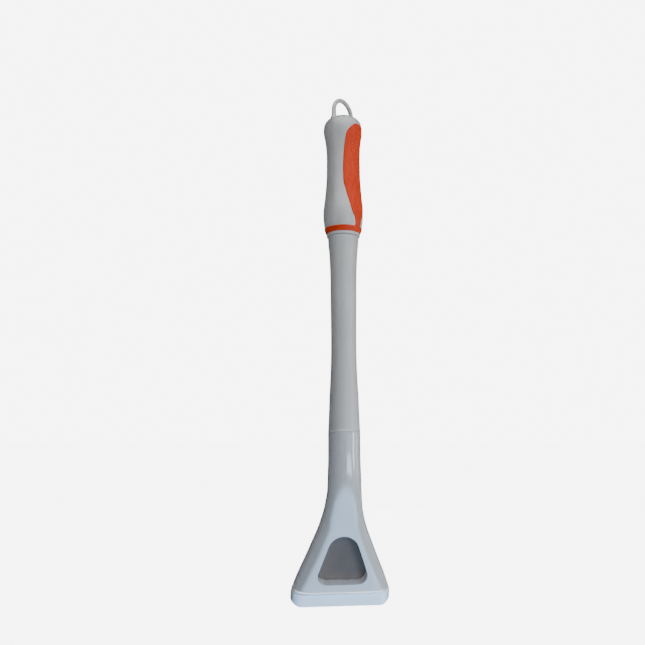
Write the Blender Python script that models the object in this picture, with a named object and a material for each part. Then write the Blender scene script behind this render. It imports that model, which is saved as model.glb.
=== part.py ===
"""Aquarium scraper: hanging loop and soft grip, hourglass tube, screw-on head, slip-on blade guard.

Dimensions are millimetres until a node is finished. Heights are measured up from a datum 400 mm
below the top of the hanging loop. The object's frame has its origin at the inner top of the loop,
+Z up along the handle and the head's front towards -Y. The flat lower head leans back, and its
own pieces are drawn in the face frame: x across, y back from the mid plane, z up along the face.
"""
import math

import bmesh
import bpy
from mathutils import Matrix, Vector

MM = 0.001

# Overall
LOOP_TOP = 400.0
LOOP_ROD_R = 1.8
HANG_HEIGHT = LOOP_TOP - 2 * LOOP_ROD_R
SEGMENTS = 32
FIT_GAP = 0.3
SMOOTH_ANGLE = math.radians(32)
SCREW_SEGMENTS = 16
OUT_OF_BACK = (-math.pi / 2, 0.0, 0.0)

# Hanging loop: a rigid arch whose plane is turned about the handle axis
LOOP_HALF_WIDTH = 10.9
LOOP_TURN = math.radians(42)
ARCH_STEPS = 16
LOOP_FOOT_HEIGHT = 379.3

# Grip, radius against height
CAP_SEAM_HEIGHT = 378.5
GRIP_PROFILE = [
    (383.5, 5.0), (383.1, 7.6), (382.2, 9.9), (380.8, 12.0), (379.7, 13.2), (378.5, 14.1),
    (376.0, 15.2), (372.3, 15.5), (368.0, 15.0), (363.0, 14.1), (357.5, 13.5), (352.0, 13.1),
    (343.0, 13.0), (336.0, 13.05), (330.0, 13.25), (323.5, 13.7), (317.5, 14.3), (312.0, 15.0),
    (306.6, 15.55), (302.5, 15.75), (299.0, 15.65), (294.5, 15.2), (290.4, 14.6), (286.0, 13.0),
]
GRIP_BOTTOM = 286.0
WEB_TOP = 366.0
WEB_BOTTOM = 362.0
CAP_TOP = 383.6
CAP_CAVITY_TOP = 379.5
CAP_PLUG_LOW = 371.2
CAP_PLUG_R = 8.6
CAP_CAVITY_R = 6.6
CAP_BORE_R = 8.9
TENON_BORE_R = 9.8
TENON_R = 9.5

# Orange panel, half angle against height, and the band it runs into
PANEL_PROFILE = [
    (374.4, 4.0), (373.4, 15.0), (370.5, 27.0), (366.0, 39.0), (359.0, 44.5), (352.0, 47.0),
    (345.0, 50.0), (335.0, 50.5), (325.0, 50.0), (320.0, 44.5), (311.0, 35.0), (301.0, 25.0),
    (297.0, 16.0), (294.5, 12.0), (290.4, 11.4),
]
BAND_TOP = 290.4
PANEL_TURN = LOOP_TURN - math.pi / 2
PANEL_COLUMNS = 8
BAND_COLUMNS = 24
PANEL_HEIGHTS = [
    373.2, 370.5, 366.0, 359.0, 352.0, 345.0, 335.0, 325.0, 320.0, 311.0, 301.0, 297.0, 294.5,
]
BAND_MIDDLE = 288.4
PANEL_THICK = 1.3
PANEL_PROUD = 0.6

# White ring below the grip
COLLAR_TOP = 285.7
COLLAR_BOTTOM = 284.0
COLLAR_R = 13.2

# Hourglass tube, radius against height
TUBE_PROFILE = [
    (283.7, 12.05), (280.0, 12.0), (276.0, 11.6), (272.0, 11.2), (265.0, 10.85), (258.0, 10.4),
    (244.0, 10.2), (230.0, 10.1), (216.0, 9.95), (205.0, 9.82), (190.0, 9.85), (180.0, 10.1),
    (172.0, 10.45), (166.0, 10.8), (160.0, 11.15), (148.0, 11.5), (140.0, 11.75), (132.4, 12.2),
]
TUBE_BORE_R = 7.8
TENON_TOP = 361.6
TENON_BORE_TOP = 352.0
SOCKET_R = 10.4
SOCKET_TOP = 147.5

# Screw joint between the tube and the head: a right-hand thread
PITCH = 4.0
THREAD_SEGMENTS = 20
MALE_LOW = 134.0
MALE_HIGH = 147.0
MALE_ROOT_R = 8.05
MALE_CREST_R = 8.95
FEMALE_ROOT_R = 9.35
FEMALE_CREST_R = 8.45
BUSH_R = 10.15
BUSH_BOTTOM = 133.2
BUSH_TOP = 147.2
SPIGOT_TOP = 148.0
SPIGOT_BORE_R = 5.5
SPIGOT_ROOT = 125.0
NECK_TOP = 132.1
SEAL_R = 9.4
SEAL_SECTION_R = 0.9
SEAL_HEIGHT = 131.15
SEAL_SIDES = 12
SEAL_GROOVE = (8.3, 10.6, 130.0)

# Screw that ties the grip to the tube: radius, head radius, head height, length below the head
GRIP_SCREW = (1.6, 3.3, 2.4, 13.7)
GRIP_SCREW_SEAT = 367.2
WASHER_R = 4.4
WASHER_THICK = 0.8
PILOT_R = 1.9

# Head: it leans back below the neck
LEAN = math.radians(15.5)
LEAN_START = 114.0
LEAN_END = 68.0
HEAD_HALF_WIDTH = [
    (132.1, 12.2), (112.0, 12.2), (100.5, 12.7), (88.8, 13.2), (77.0, 14.4), (71.0, 15.7),
    (65.0, 17.3), (59.0, 19.3), (52.8, 21.9), (46.7, 24.4), (40.5, 27.0), (34.3, 29.7),
    (28.2, 32.4), (22.0, 34.9), (16.0, 37.1),
]
HEAD_FRONT_HALF = [
    (132.1, 6.0), (100.5, 6.5), (88.8, 7.2), (77.0, 8.8), (65.0, 11.0), (59.0, 12.7),
    (47.0, 16.6), (28.0, 24.2), (16.0, 29.4),
]
HEAD_DEPTH_FRONT = [(132.1, 12.2), (112.0, 12.2), (100.0, 11.6), (88.0, 10.2), (77.0, 8.6), (68.0, 7.2)]
HEAD_DEPTH_BACK = [(132.1, 12.2), (112.0, 12.2), (100.0, 11.2), (88.0, 9.3), (77.0, 7.5), (68.0, 6.5)]
HEAD_SQUARENESS = [(132.1, 0.0), (112.0, 0.0), (100.0, 0.12), (88.0, 0.45), (77.0, 0.85), (68.0, 1.0)]
HEAD_BEVEL_DEPTH = 6.0
HEAD_STATIONS = [
    132.1, 122.0, 114.0, 107.0, 100.0, 94.0, 88.0, 82.0, 77.0, 72.0, 68.0, 62.0, 56.0, 48.0,
    40.0, 30.0, 23.0,
]
CORNER_STEPS = 5
HEAD_WALL = 2.4
HEAD_FRONT_DEPTH = 7.2
HEAD_BACK_DEPTH = 6.5
HEAD_END = 16.9
HEAD_END_HALF = (37.3, 29.5)
CAVITY_END = 19.8
CAVITY_END_HALF = (36.6, 28.0)
CAVITY_TOP = 128.0
TURN_HEIGHT = 136.4

# Window: a rounded triangle, its corners given as across and up along the head's face
WINDOW_CORNERS = [(21.7, 22.1), (0.0, 84.2), (-21.7, 22.1)]
WINDOW_RADII = [7.0, 12.0, 7.0]
TUNNEL_WALL = 2.0
TUNNEL_END = 3.7
PAD_FACE = 1.3

# Rear cover
COVER_CORNERS = [(32.2, 21.6), (13.2, 69.2), (-13.2, 69.2), (-32.2, 21.6)]
COVER_RADII = [6.0, 6.0, 6.0, 6.0]
COVER_THICK = 2.2
COVER_SEAT = 3.95
CUT_PAST = 15.0
COVER_SCREWS = [(25.5, 28.3), (-25.5, 28.3), (10.2, 63.4), (-10.2, 63.4)]
BOSS_ROOTS = [-4.3, -4.3, -5.6, -5.6]
BOSS_R = 3.0
COVER_SCREW = (1.4, 2.7, 1.1, 8.8)
COVER_SCREW_SEAT = HEAD_BACK_DEPTH - 1.2

# Blade, its clamp and the tongue that carries them: half width, low, high, front and back depths
TONGUE = (26.0, 7.7, 20.7, -2.9, 0.6)
BLADE = (30.0, 6.5, 16.3, 0.9, 1.7)
BLADE_EDGE = 1.4
CLAMP = (26.5, 8.3, 16.1, 2.0, 3.9)
CLAMP_SCREWS = [(15.0, 12.3), (-15.0, 12.3)]
CLAMP_SCREW = (1.4, 2.7, 0.95, 4.85)
CLAMP_SCREW_SEAT = 2.85

# Blade guard: up, half width, half front flat, front and back depths; and its pocket
GUARD_STATIONS = [
    (16.6, 37.3, 29.6, 7.7, 6.5), (14.9, 37.7, 29.9, 7.7, 6.5), (14.3, 37.8, 29.9, 7.1, 6.5),
    (11.3, 37.9, 29.9, 6.6, 6.5), (8.5, 37.4, 29.6, 6.1, 6.5), (6.7, 36.3, 29.0, 5.75, 6.4),
    (5.1, 34.6, 28.0, 5.3, 6.2), (4.1, 32.8, 27.0, 4.7, 5.6), (3.72, 31.2, 26.0, 3.8, 4.9),
]
GUARD_POCKET = (31.3, 5.5, 24.0, -3.3, 4.3)


def lookup(table, height):
    """Linear value from a falling table of height and value."""
    if height >= table[0][0]:
        return table[0][1]
    for (top, a), (low, b) in zip(table, table[1:]):
        if height >= low:
            return b + (a - b) * (height - low) / (top - low)
    return table[-1][1]


def lean_at(height):
    t = min(max((LEAN_START - height) / (LEAN_START - LEAN_END), 0.0), 1.0)
    return LEAN * t * t * (3 - 2 * t)


def spine_back(height):
    """How far the head's centreline has moved back at a height."""
    steps = 60
    low = min(height, LEAN_START)
    width = (LEAN_START - low) / steps
    return sum(math.tan(lean_at(low + (k + 0.5) * width)) * width for k in range(steps))


def row_z(height):
    return height - HANG_HEIGHT


FOOT = Vector((0.0, spine_back(0.0), -HANG_HEIGHT))
FACE_PLACE = Matrix.Translation(FOOT) @ Matrix.Rotation(LEAN, 4, "X")


def material(name, colour, rough, metallic=0.0):
    """A plain Principled BSDF look."""
    made = bpy.data.materials.new(name)
    made.use_nodes = True
    shader = made.node_tree.nodes["Principled BSDF"]
    shader.inputs["Base Color"].default_value = (*colour, 1.0)
    shader.inputs["Roughness"].default_value = rough
    shader.inputs["Metallic"].default_value = metallic
    return made


def empty(name, parent, location, lean=0.0):
    """A frame to hang pieces on; its location is in its parent's frame."""
    made = bpy.data.objects.new(name, None)
    made.parent = parent
    made.location = Vector(location) * MM
    made.rotation_euler = (lean, 0.0, 0.0)
    bpy.context.scene.collection.objects.link(made)
    return made


def meshed(name, bm, look):
    """The finished mesh of one closed body, in metres."""
    bmesh.ops.remove_doubles(bm, verts=bm.verts, dist=0.0005)
    bmesh.ops.recalc_face_normals(bm, faces=bm.faces)
    bmesh.ops.scale(bm, vec=Vector((MM, MM, MM)), verts=bm.verts)
    mesh = bpy.data.meshes.new(name)
    bm.to_mesh(mesh)
    bm.free()
    mesh.shade_smooth()
    mesh.set_sharp_from_angle(angle=SMOOTH_ANGLE)
    mesh.materials.append(look)
    return mesh


def placed(name, mesh, parent, location=(0.0, 0.0, 0.0), rotation=(0.0, 0.0, 0.0)):
    """One node: a mesh on its parent, with its location in millimetres."""
    made = bpy.data.objects.new(name, mesh)
    made.parent = parent
    made.location = Vector(location) * MM
    made.rotation_euler = rotation
    bpy.context.scene.collection.objects.link(made)
    return made


def solid(bm):
    """A loose body for the boolean steps, in millimetres."""
    bmesh.ops.remove_doubles(bm, verts=bm.verts, dist=0.0005)
    bmesh.ops.recalc_face_normals(bm, faces=bm.faces)
    mesh = bpy.data.meshes.new("piece")
    bm.to_mesh(mesh)
    bm.free()
    made = bpy.data.objects.new("piece", mesh)
    bpy.context.scene.collection.objects.link(made)
    return made


def combine(target, bm, operation):
    """Joins a body to the target, or cuts it away, with one exact Boolean."""
    tool = solid(bm)
    tool.hide_render = True
    tool.display_type = "WIRE"
    step = target.modifiers.new("step", "BOOLEAN")
    step.operation = operation
    step.solver = "EXACT"
    step.object = tool
    seen = target.evaluated_get(bpy.context.evaluated_depsgraph_get())
    result = bpy.data.meshes.new_from_object(seen)
    target.modifiers.clear()
    target.data = result
    bpy.data.objects.remove(tool)


def to_bmesh(made):
    bm = bmesh.new()
    bm.from_mesh(made.data)
    bpy.data.objects.remove(made)
    bmesh.ops.remove_doubles(bm, verts=bm.verts, dist=0.002)
    bmesh.ops.dissolve_degenerate(bm, edges=bm.edges, dist=0.001)
    return bm


def spun(profile, count=SEGMENTS):
    """Spins a closed outline of radius and height about Z."""
    bm = bmesh.new()
    outline = [bm.verts.new((radius, 0.0, z)) for radius, z in profile]
    for a, b in zip(outline, outline[1:] + outline[:1]):
        if max(a.co.x, b.co.x) > 0.0:
            bm.edges.new((a, b))
    bmesh.ops.spin(
        bm, geom=bm.verts[:] + bm.edges[:], cent=(0, 0, 0), axis=(0, 0, 1), dvec=(0, 0, 0),
        angle=2 * math.pi, steps=count, use_merge=True, use_duplicate=False,
    )
    return bm


def lofted(rings):
    """Bridges rings of points into a closed body with flat ends."""
    bm = bmesh.new()
    loops = []
    for ring in rings:
        verts = [bm.verts.new(point) for point in ring]
        loops.append([bm.edges.new(pair) for pair in zip(verts, verts[1:] + verts[:1])])
    for low, high in zip(loops, loops[1:]):
        bmesh.ops.bridge_loops(bm, edges=low + high)
    bmesh.ops.contextual_create(bm, geom=loops[0])
    bmesh.ops.contextual_create(bm, geom=loops[-1])
    return bm


def new_verts(made):
    return [item for item in made["geom"] if isinstance(item, bmesh.types.BMVert)]


def extruded(points, travel):
    """Extrudes a flat outline along a vector."""
    bm = bmesh.new()
    bm.faces.new([bm.verts.new(point) for point in points])
    made = bmesh.ops.extrude_face_region(bm, geom=bm.faces[:])
    bmesh.ops.translate(bm, vec=Vector(travel), verts=new_verts(made))
    return bm


def rounded(corners, radii, steps=6):
    """Polygon with filleted corners."""
    points = []
    count = len(corners)
    for k, (corner, radius) in enumerate(zip(corners, radii)):
        here = Vector(corner)
        before = (Vector(corners[k - 1]) - here).normalized()
        after = (Vector(corners[(k + 1) % count]) - here).normalized()
        half = before.angle(after) / 2
        centre = here + (before + after).normalized() * radius / math.sin(half)
        start = here + before * radius / math.tan(half) - centre
        end = here + after * radius / math.tan(half) - centre
        sweep = start.angle_signed(end)
        for i in range(steps + 1):
            turn = -sweep * i / steps
            c, s = math.cos(turn), math.sin(turn)
            points.append(centre + Vector((start.x * c - start.y * s, start.x * s + start.y * c)))
    return points


def inset(corners, radii, amount, steps=6):
    """The rounded polygon moved inwards by an amount, or outwards when it is negative."""
    moved = []
    count = len(corners)
    for k, corner in enumerate(corners):
        here = Vector(corner)
        before = (Vector(corners[k - 1]) - here).normalized()
        after = (Vector(corners[(k + 1) % count]) - here).normalized()
        half = before.angle(after) / 2
        moved.append(here + (before + after).normalized() * amount / math.sin(half))
    return rounded([tuple(m) for m in moved], [r - amount for r in radii], steps)


def plate(outline, front, back):
    """An outline of across and up in the face frame, between two depths."""
    return extruded([(across, front, up) for across, up in outline], (0.0, back - front, 0.0))


def block(half, low, high, front, back):
    """A box in the face frame."""
    bm = bmesh.new()
    size = Matrix.Diagonal((2 * half, back - front, high - low, 1.0))
    centre = Matrix.Translation((0.0, (front + back) / 2, (low + high) / 2))
    bmesh.ops.create_cube(bm, size=1.0, matrix=centre @ size)
    return bm


def pin(across, up, radius, front, back, count=16):
    """A round pin through the face frame's depth."""
    bm = bmesh.new()
    centre = Matrix.Translation((across, (front + back) / 2, up))
    bmesh.ops.create_cone(
        bm, cap_ends=True, segments=count, radius1=radius, radius2=radius, depth=back - front,
        matrix=centre @ Matrix.Rotation(math.pi / 2, 4, "X"),
    )
    return bm


def leaned(bm):
    """Moves a body from the face frame into the object's frame."""
    bmesh.ops.transform(bm, matrix=FACE_PLACE, verts=bm.verts)
    return bm


def section(width, flat, front, back, squareness):
    """Half outline of the head from front centre to back centre: flat, soft bevel, side, back."""
    bevel = min(HEAD_BEVEL_DEPTH, 0.6 * (front + back))
    corners = [(flat, -front), (width, -front + bevel), (width, back)]
    reach = [min(4.5, flat * 0.7), 3.2, 3.6]
    path = [(0.0, -front)] + corners + [(0.0, back)]
    square = [(0.0, -front)]
    for k in range(1, 4):
        here = Vector(path[k])
        to_before = Vector(path[k - 1]) - here
        to_after = Vector(path[k + 1]) - here
        cut = min(reach[k - 1], 0.48 * to_before.length, 0.48 * to_after.length)
        a = here + to_before.normalized() * cut
        b = here + to_after.normalized() * cut
        for i in range(CORNER_STEPS):
            t = i / (CORNER_STEPS - 1)
            square.append(tuple(a * (1 - t) ** 2 + here * 2 * t * (1 - t) + b * t * t))
    square.append((0.0, back))
    count = len(square)
    middle = (back - front) / 2
    result = []
    for k, (x, y) in enumerate(square):
        angle = math.pi * k / (count - 1)
        round_x = width * math.sin(angle)
        round_y = middle - (front + back) / 2 * math.cos(angle)
        result.append((
            round_x + (x - round_x) * squareness,
            round_y + (y - round_y) * squareness,
        ))
    mirrored = [(-x, y) for x, y in reversed(result[1:-1])]
    return result + mirrored


def head_ring(height, shrink=0.0):
    """One cross-section of the head, square to its leaning centreline."""
    lean = lean_at(height)
    y0 = spine_back(height)
    shape = section(
        lookup(HEAD_HALF_WIDTH, height) - shrink,
        lookup(HEAD_FRONT_HALF, height) - shrink * 0.6,
        lookup(HEAD_DEPTH_FRONT, height) - shrink,
        lookup(HEAD_DEPTH_BACK, height) - shrink,
        lookup(HEAD_SQUARENESS, height),
    )
    return [
        (x, y0 + y * math.cos(lean), row_z(height) + y * math.sin(lean)) for x, y in shape
    ]


def face_ring(up, width, flat, front, back):
    """One cross-section of the flat lower head, in the face frame."""
    return [(x, y, up) for x, y in section(width, flat, front, back, 1.0)]


def ridge(phase):
    """Trapezoid thread form: 1 on the crest, 0 in the root."""
    away = abs((phase % 1.0) - 0.5) * PITCH
    return min(max((0.8 - away) / 0.4, 0.0), 1.0)


def threaded(low, high, radius_at, plain):
    """A ring body with one threaded surface; plain gives the other surface's corners."""
    count = THREAD_SEGMENTS
    step = PITCH / count
    rows = round((high - low) / step)
    heights = [low + (high - low) * k / rows for k in range(rows + 1)]
    bm = bmesh.new()
    loops = []
    for h in heights:
        loop = []
        for j in range(count):
            angle = 2 * math.pi * j / count
            phase = h / PITCH - j / count
            fade = min(1.0, (h - low) / 0.8, (high - h) / 0.8)
            radius = radius_at(phase, max(fade, 0.0))
            loop.append(bm.verts.new((radius * math.cos(angle), radius * math.sin(angle), row_z(h))))
        loops.append(loop)
    threads = len(loops)
    for radius, h in plain:
        angles = [2 * math.pi * j / count for j in range(count)]
        loops.append([bm.verts.new((radius * math.cos(a), radius * math.sin(a), row_z(h))) for a in angles])
    for i, loop in enumerate(loops):
        above = loops[(i + 1) % len(loops)]
        for j in range(count):
            n = (j + 1) % count
            if i < threads - 1:
                bm.faces.new((loop[j], loop[n], above[n]))
                bm.faces.new((loop[j], above[n], above[j]))
            else:
                bm.faces.new((loop[j], loop[n], above[n], above[j]))
    return bm


def grip_radius(height):
    return lookup(GRIP_PROFILE, height)


def panel_sheet(grow, proud):
    """Panel, neck and band as one thick sheet wrapped round the grip; grow makes the recess tool."""
    heights = [PANEL_PROFILE[0][0] + grow] + PANEL_HEIGHTS
    band_row = len(heights)
    heights += [BAND_TOP + grow, BAND_MIDDLE, GRIP_BOTTOM + FIT_GAP - grow * 2.5]
    bm = bmesh.new()
    sheet = []
    for height in heights:
        radius = grip_radius(height)
        half = math.radians(lookup(PANEL_PROFILE, height)) + grow / radius
        turns = [half * (2 * k / PANEL_COLUMNS - 1) for k in range(PANEL_COLUMNS)]
        turns += [half + 2 * (math.pi - half) * k / BAND_COLUMNS for k in range(BAND_COLUMNS)]
        sheet.append([
            bm.verts.new((
                (radius + proud) * math.cos(PANEL_TURN + turn),
                (radius + proud) * math.sin(PANEL_TURN + turn), row_z(height),
            ))
            for turn in turns
        ])
    for row, (above, below) in enumerate(zip(sheet, sheet[1:])):
        columns = PANEL_COLUMNS if row < band_row else len(above)
        for k in range(columns):
            n = (k + 1) % len(above)
            bm.faces.new((above[k], below[k], below[n], above[n]))
    bmesh.ops.delete(bm, geom=[v for v in bm.verts if not v.link_faces], context="VERTS")
    thick = PANEL_THICK + grow + proud
    for vert in new_verts(bmesh.ops.extrude_face_region(bm, geom=bm.faces[:])):
        vert.co.xy = vert.co.xy * (1.0 - thick / vert.co.xy.length)
    return bm


def screw_mesh(name, radius, head_radius, head_height, length):
    """Pan-head cross screw along Z, its head seated at z = 0 and its tip below."""
    body = solid(spun([
        (0.0, -length), (radius * 0.5, 0.3 - length), (radius, 1.2 - length), (radius, 0.0),
        (head_radius, 0.0), (head_radius, head_height * 0.55),
        (head_radius * 0.82, head_height), (0.0, head_height),
    ], SCREW_SEGMENTS))
    arm = head_radius * 0.55
    web = head_radius * 0.13
    quarter = [(arm, web), (web, web), (web, arm)]
    cross = quarter + [(-y, x) for x, y in quarter]
    cross += [(-x, -y) for x, y in quarter] + [(y, -x) for x, y in quarter]
    floor = head_height * 0.5
    combine(body, extruded([(x, y, floor) for x, y in cross], (0.0, 0.0, head_height)), "DIFFERENCE")
    return meshed(name, to_bmesh(body), STEEL)


def loop_rod():
    """The hanging loop's rod: a curve with a round bevel, turned about the handle's axis."""
    centre = LOOP_TOP - LOOP_ROD_R - LOOP_HALF_WIDTH
    arch = [math.pi * k / ARCH_STEPS for k in range(ARCH_STEPS + 1)]
    path = [(LOOP_HALF_WIDTH, LOOP_FOOT_HEIGHT)]
    path += [(LOOP_HALF_WIDTH * math.cos(a), centre + LOOP_HALF_WIDTH * math.sin(a)) for a in arch]
    path += [(-LOOP_HALF_WIDTH, LOOP_FOOT_HEIGHT)]
    curve = bpy.data.curves.new("loop_rod", "CURVE")
    curve.dimensions = "3D"
    curve.bevel_depth = LOOP_ROD_R
    curve.bevel_resolution = 4
    curve.use_fill_caps = True
    spline = curve.splines.new("POLY")
    spline.points.add(len(path) - 1)
    for spot, (across, height) in zip(spline.points, path):
        spot.co = (across, 0.0, row_z(height), 1.0)
    guide = bpy.data.objects.new("loop_rod", curve)
    bpy.context.scene.collection.objects.link(guide)
    bm = bmesh.new()
    bm.from_mesh(guide.to_mesh())
    bpy.data.objects.remove(guide)
    bpy.data.curves.remove(curve)
    bmesh.ops.remove_doubles(bm, verts=bm.verts, dist=0.001)
    bmesh.ops.rotate(bm, matrix=Matrix.Rotation(LOOP_TURN, 3, "Z"), verts=bm.verts)
    return bm


def build_end_cap(parent):
    seam = CAP_SEAM_HEIGHT + FIT_GAP / 2
    dome = [(0.0, row_z(CAP_TOP))]
    dome += [(r, row_z(h)) for h, r in GRIP_PROFILE if h > seam]
    cap = solid(spun(dome + [
        (grip_radius(seam), row_z(seam)), (CAP_PLUG_R, row_z(seam)),
        (CAP_PLUG_R, row_z(CAP_PLUG_LOW)), (CAP_CAVITY_R, row_z(CAP_PLUG_LOW)),
        (CAP_CAVITY_R, row_z(CAP_CAVITY_TOP)), (0.0, row_z(CAP_CAVITY_TOP)),
    ]))
    combine(cap, loop_rod(), "UNION")
    placed("end_cap", meshed("end_cap", to_bmesh(cap), WHITE), parent)


def build_grip(parent):
    seam = CAP_SEAM_HEIGHT - FIT_GAP / 2
    outer = [(grip_radius(seam), row_z(seam))]
    outer += [(r, row_z(h)) for h, r in GRIP_PROFILE if h < seam]
    inner = [
        (TENON_BORE_R, row_z(GRIP_BOTTOM)), (TENON_BORE_R, row_z(WEB_BOTTOM)),
        (PILOT_R, row_z(WEB_BOTTOM)), (PILOT_R, row_z(WEB_TOP)),
        (CAP_BORE_R, row_z(WEB_TOP)), (CAP_BORE_R, row_z(seam)),
    ]
    core = solid(spun(outer + inner))
    combine(core, panel_sheet(FIT_GAP, 3.0), "DIFFERENCE")
    placed("grip_core", meshed("grip_core", to_bmesh(core), WHITE), parent)
    placed("grip_overmould", meshed("grip_overmould", panel_sheet(0.0, PANEL_PROUD), ORANGE), parent)
    collar = spun([
        (TENON_BORE_R, row_z(COLLAR_BOTTOM)), (COLLAR_R - 0.3, row_z(COLLAR_BOTTOM)),
        (COLLAR_R, row_z(COLLAR_BOTTOM + 0.4)), (COLLAR_R, row_z(COLLAR_TOP - 0.4)),
        (COLLAR_R - 0.3, row_z(COLLAR_TOP)), (TENON_BORE_R, row_z(COLLAR_TOP)),
    ])
    placed("grip_collar", meshed("grip_collar", collar, WHITE), parent)
    washer = spun([
        (PILOT_R, 0.0), (WASHER_R, 0.0), (WASHER_R, WASHER_THICK), (PILOT_R, WASHER_THICK),
    ], SCREW_SEGMENTS)
    on_web = (0.0, 0.0, row_z(WEB_TOP + 0.2))
    placed("grip_washer", meshed("grip_washer", washer, STEEL), parent, on_web)
    seat = (0.0, 0.0, row_z(GRIP_SCREW_SEAT))
    placed("grip_screw", screw_mesh("grip_screw", *GRIP_SCREW), parent, seat)


def build_tube(parent, travel):
    outer = [(r, row_z(h)) for h, r in TUBE_PROFILE]
    top, bottom = TUBE_PROFILE[0][0], TUBE_PROFILE[-1][0]
    inner = [
        (SOCKET_R, row_z(bottom)), (SOCKET_R, row_z(SOCKET_TOP)), (TUBE_BORE_R, row_z(SOCKET_TOP)),
        (TUBE_BORE_R, row_z(TENON_BORE_TOP)), (PILOT_R, row_z(TENON_BORE_TOP)),
        (PILOT_R, row_z(TENON_TOP)), (TENON_R - 0.6, row_z(TENON_TOP)),
        (TENON_R, row_z(TENON_TOP - 0.8)), (TENON_R, row_z(top)),
    ]
    placed("handle_tube", meshed("handle_tube", spun(outer + inner), WHITE), parent)
    bush = threaded(
        BUSH_BOTTOM, BUSH_TOP,
        lambda phase, fade: FEMALE_ROOT_R - (FEMALE_ROOT_R - FEMALE_CREST_R) * ridge(phase + 0.5) * fade,
        [(BUSH_R, BUSH_TOP), (BUSH_R, BUSH_BOTTOM)],
    )
    placed("thread_bush", meshed("thread_bush", bush, GREY), parent)
    turns = [2 * math.pi * k / SEAL_SIDES for k in range(SEAL_SIDES)]
    seal = spun([(SEAL_R + SEAL_SECTION_R * math.cos(a), SEAL_SECTION_R * math.sin(a)) for a in turns])
    rest = (0.0, 0.0, SEAL_HEIGHT - TURN_HEIGHT)
    placed("seal_ring", meshed("seal_ring", seal, BLACK), travel, rest)


def head_shell():
    """The hollow head, open at the back where the cover goes."""
    rings = [head_ring(height) for height in HEAD_STATIONS]
    end = face_ring(HEAD_END, *HEAD_END_HALF, HEAD_FRONT_DEPTH, HEAD_BACK_DEPTH)
    body = solid(lofted(rings + [[FACE_PLACE @ Vector(p) for p in end]]))
    heights = [CAVITY_TOP] + [h for h in HEAD_STATIONS if h < CAVITY_TOP]
    rings = [head_ring(height, HEAD_WALL) for height in heights]
    end_half, end_flat = CAVITY_END_HALF
    end = face_ring(
        CAVITY_END, end_half - HEAD_WALL, end_flat - HEAD_WALL * 0.6,
        HEAD_FRONT_DEPTH - HEAD_WALL, HEAD_BACK_DEPTH - HEAD_WALL,
    )
    combine(body, lofted(rings + [[FACE_PLACE @ Vector(p) for p in end]]), "DIFFERENCE")
    opening = rounded(COVER_CORNERS, COVER_RADII)
    combine(body, leaned(plate(opening, COVER_SEAT, CUT_PAST)), "DIFFERENCE")
    return body


def head_spigot(body):
    """The seal's groove, the threaded spigot above the neck and the bore down its middle."""
    inner, outer, floor = SEAL_GROOVE
    groove = [(inner, floor), (outer, floor), (outer, NECK_TOP + 2), (inner, NECK_TOP + 2)]
    combine(body, spun([(radius, row_z(height)) for radius, height in groove]), "DIFFERENCE")
    spigot = threaded(
        MALE_LOW, MALE_HIGH,
        lambda phase, fade: MALE_ROOT_R + (MALE_CREST_R - MALE_ROOT_R) * ridge(phase) * fade,
        [
            (MALE_ROOT_R - 0.5, SPIGOT_TOP), (SPIGOT_BORE_R, SPIGOT_TOP),
            (SPIGOT_BORE_R, SPIGOT_ROOT), (MALE_ROOT_R, SPIGOT_ROOT),
        ],
    )
    combine(body, spigot, "UNION")
    low, high = row_z(SPIGOT_ROOT - 6), row_z(SPIGOT_TOP + 2)
    bore = spun([(0.0, low), (SPIGOT_BORE_R, low), (SPIGOT_BORE_R, high), (0.0, high)], THREAD_SEGMENTS)
    combine(body, bore, "DIFFERENCE")


def build_head(parent):
    body = head_shell()
    tunnel = inset(WINDOW_CORNERS, WINDOW_RADII, -TUNNEL_WALL)
    combine(body, leaned(plate(tunnel, 1.0 - HEAD_FRONT_DEPTH, TUNNEL_END)), "UNION")
    for (across, up), root in zip(COVER_SCREWS, BOSS_ROOTS):
        combine(body, leaned(pin(across, up, BOSS_R, root, TUNNEL_END)), "UNION")
    window = rounded(WINDOW_CORNERS, WINDOW_RADII)
    combine(body, leaned(plate(window, -CUT_PAST, TUNNEL_END + 2.0)), "DIFFERENCE")
    for across, up in COVER_SCREWS:
        hole = pin(across, up, COVER_SCREW[0] + 0.25, -4.0, TUNNEL_END + 2.0)
        combine(body, leaned(hole), "DIFFERENCE")
    combine(body, leaned(block(*TONGUE)), "UNION")
    for across, up in CLAMP_SCREWS:
        hole = pin(across, up, CLAMP_SCREW[0] + 0.25, -2.2, 2.0)
        combine(body, leaned(hole), "DIFFERENCE")
    head_spigot(body)
    bm = to_bmesh(body)
    bmesh.ops.translate(bm, vec=(0.0, 0.0, -row_z(TURN_HEIGHT)), verts=bm.verts)
    placed("head_front", meshed("head_front", bm, WHITE), parent)


def build_cover(parent):
    outline = inset(COVER_CORNERS, COVER_RADII, FIT_GAP)
    inside = HEAD_BACK_DEPTH - COVER_THICK
    cover = solid(plate(outline, inside, HEAD_BACK_DEPTH))
    pad = inset(WINDOW_CORNERS, WINDOW_RADII, 0.4)
    combine(cover, plate(pad, PAD_FACE, inside + 0.6), "UNION")
    radius, head_radius = COVER_SCREW[:2]
    for across, up in COVER_SCREWS:
        combine(cover, pin(across, up, radius + 0.3, 0.0, CUT_PAST), "DIFFERENCE")
        sink = pin(across, up, head_radius + 0.35, COVER_SCREW_SEAT - 0.2, CUT_PAST, 20)
        combine(cover, sink, "DIFFERENCE")
    placed("rear_cover", meshed("rear_cover", to_bmesh(cover), DARK), parent)
    mesh = screw_mesh("cover_screw", *COVER_SCREW)
    for k, (across, up) in enumerate(COVER_SCREWS):
        placed(f"cover_screw_{k + 1}", mesh, parent, (across, COVER_SCREW_SEAT, up), OUT_OF_BACK)


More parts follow.
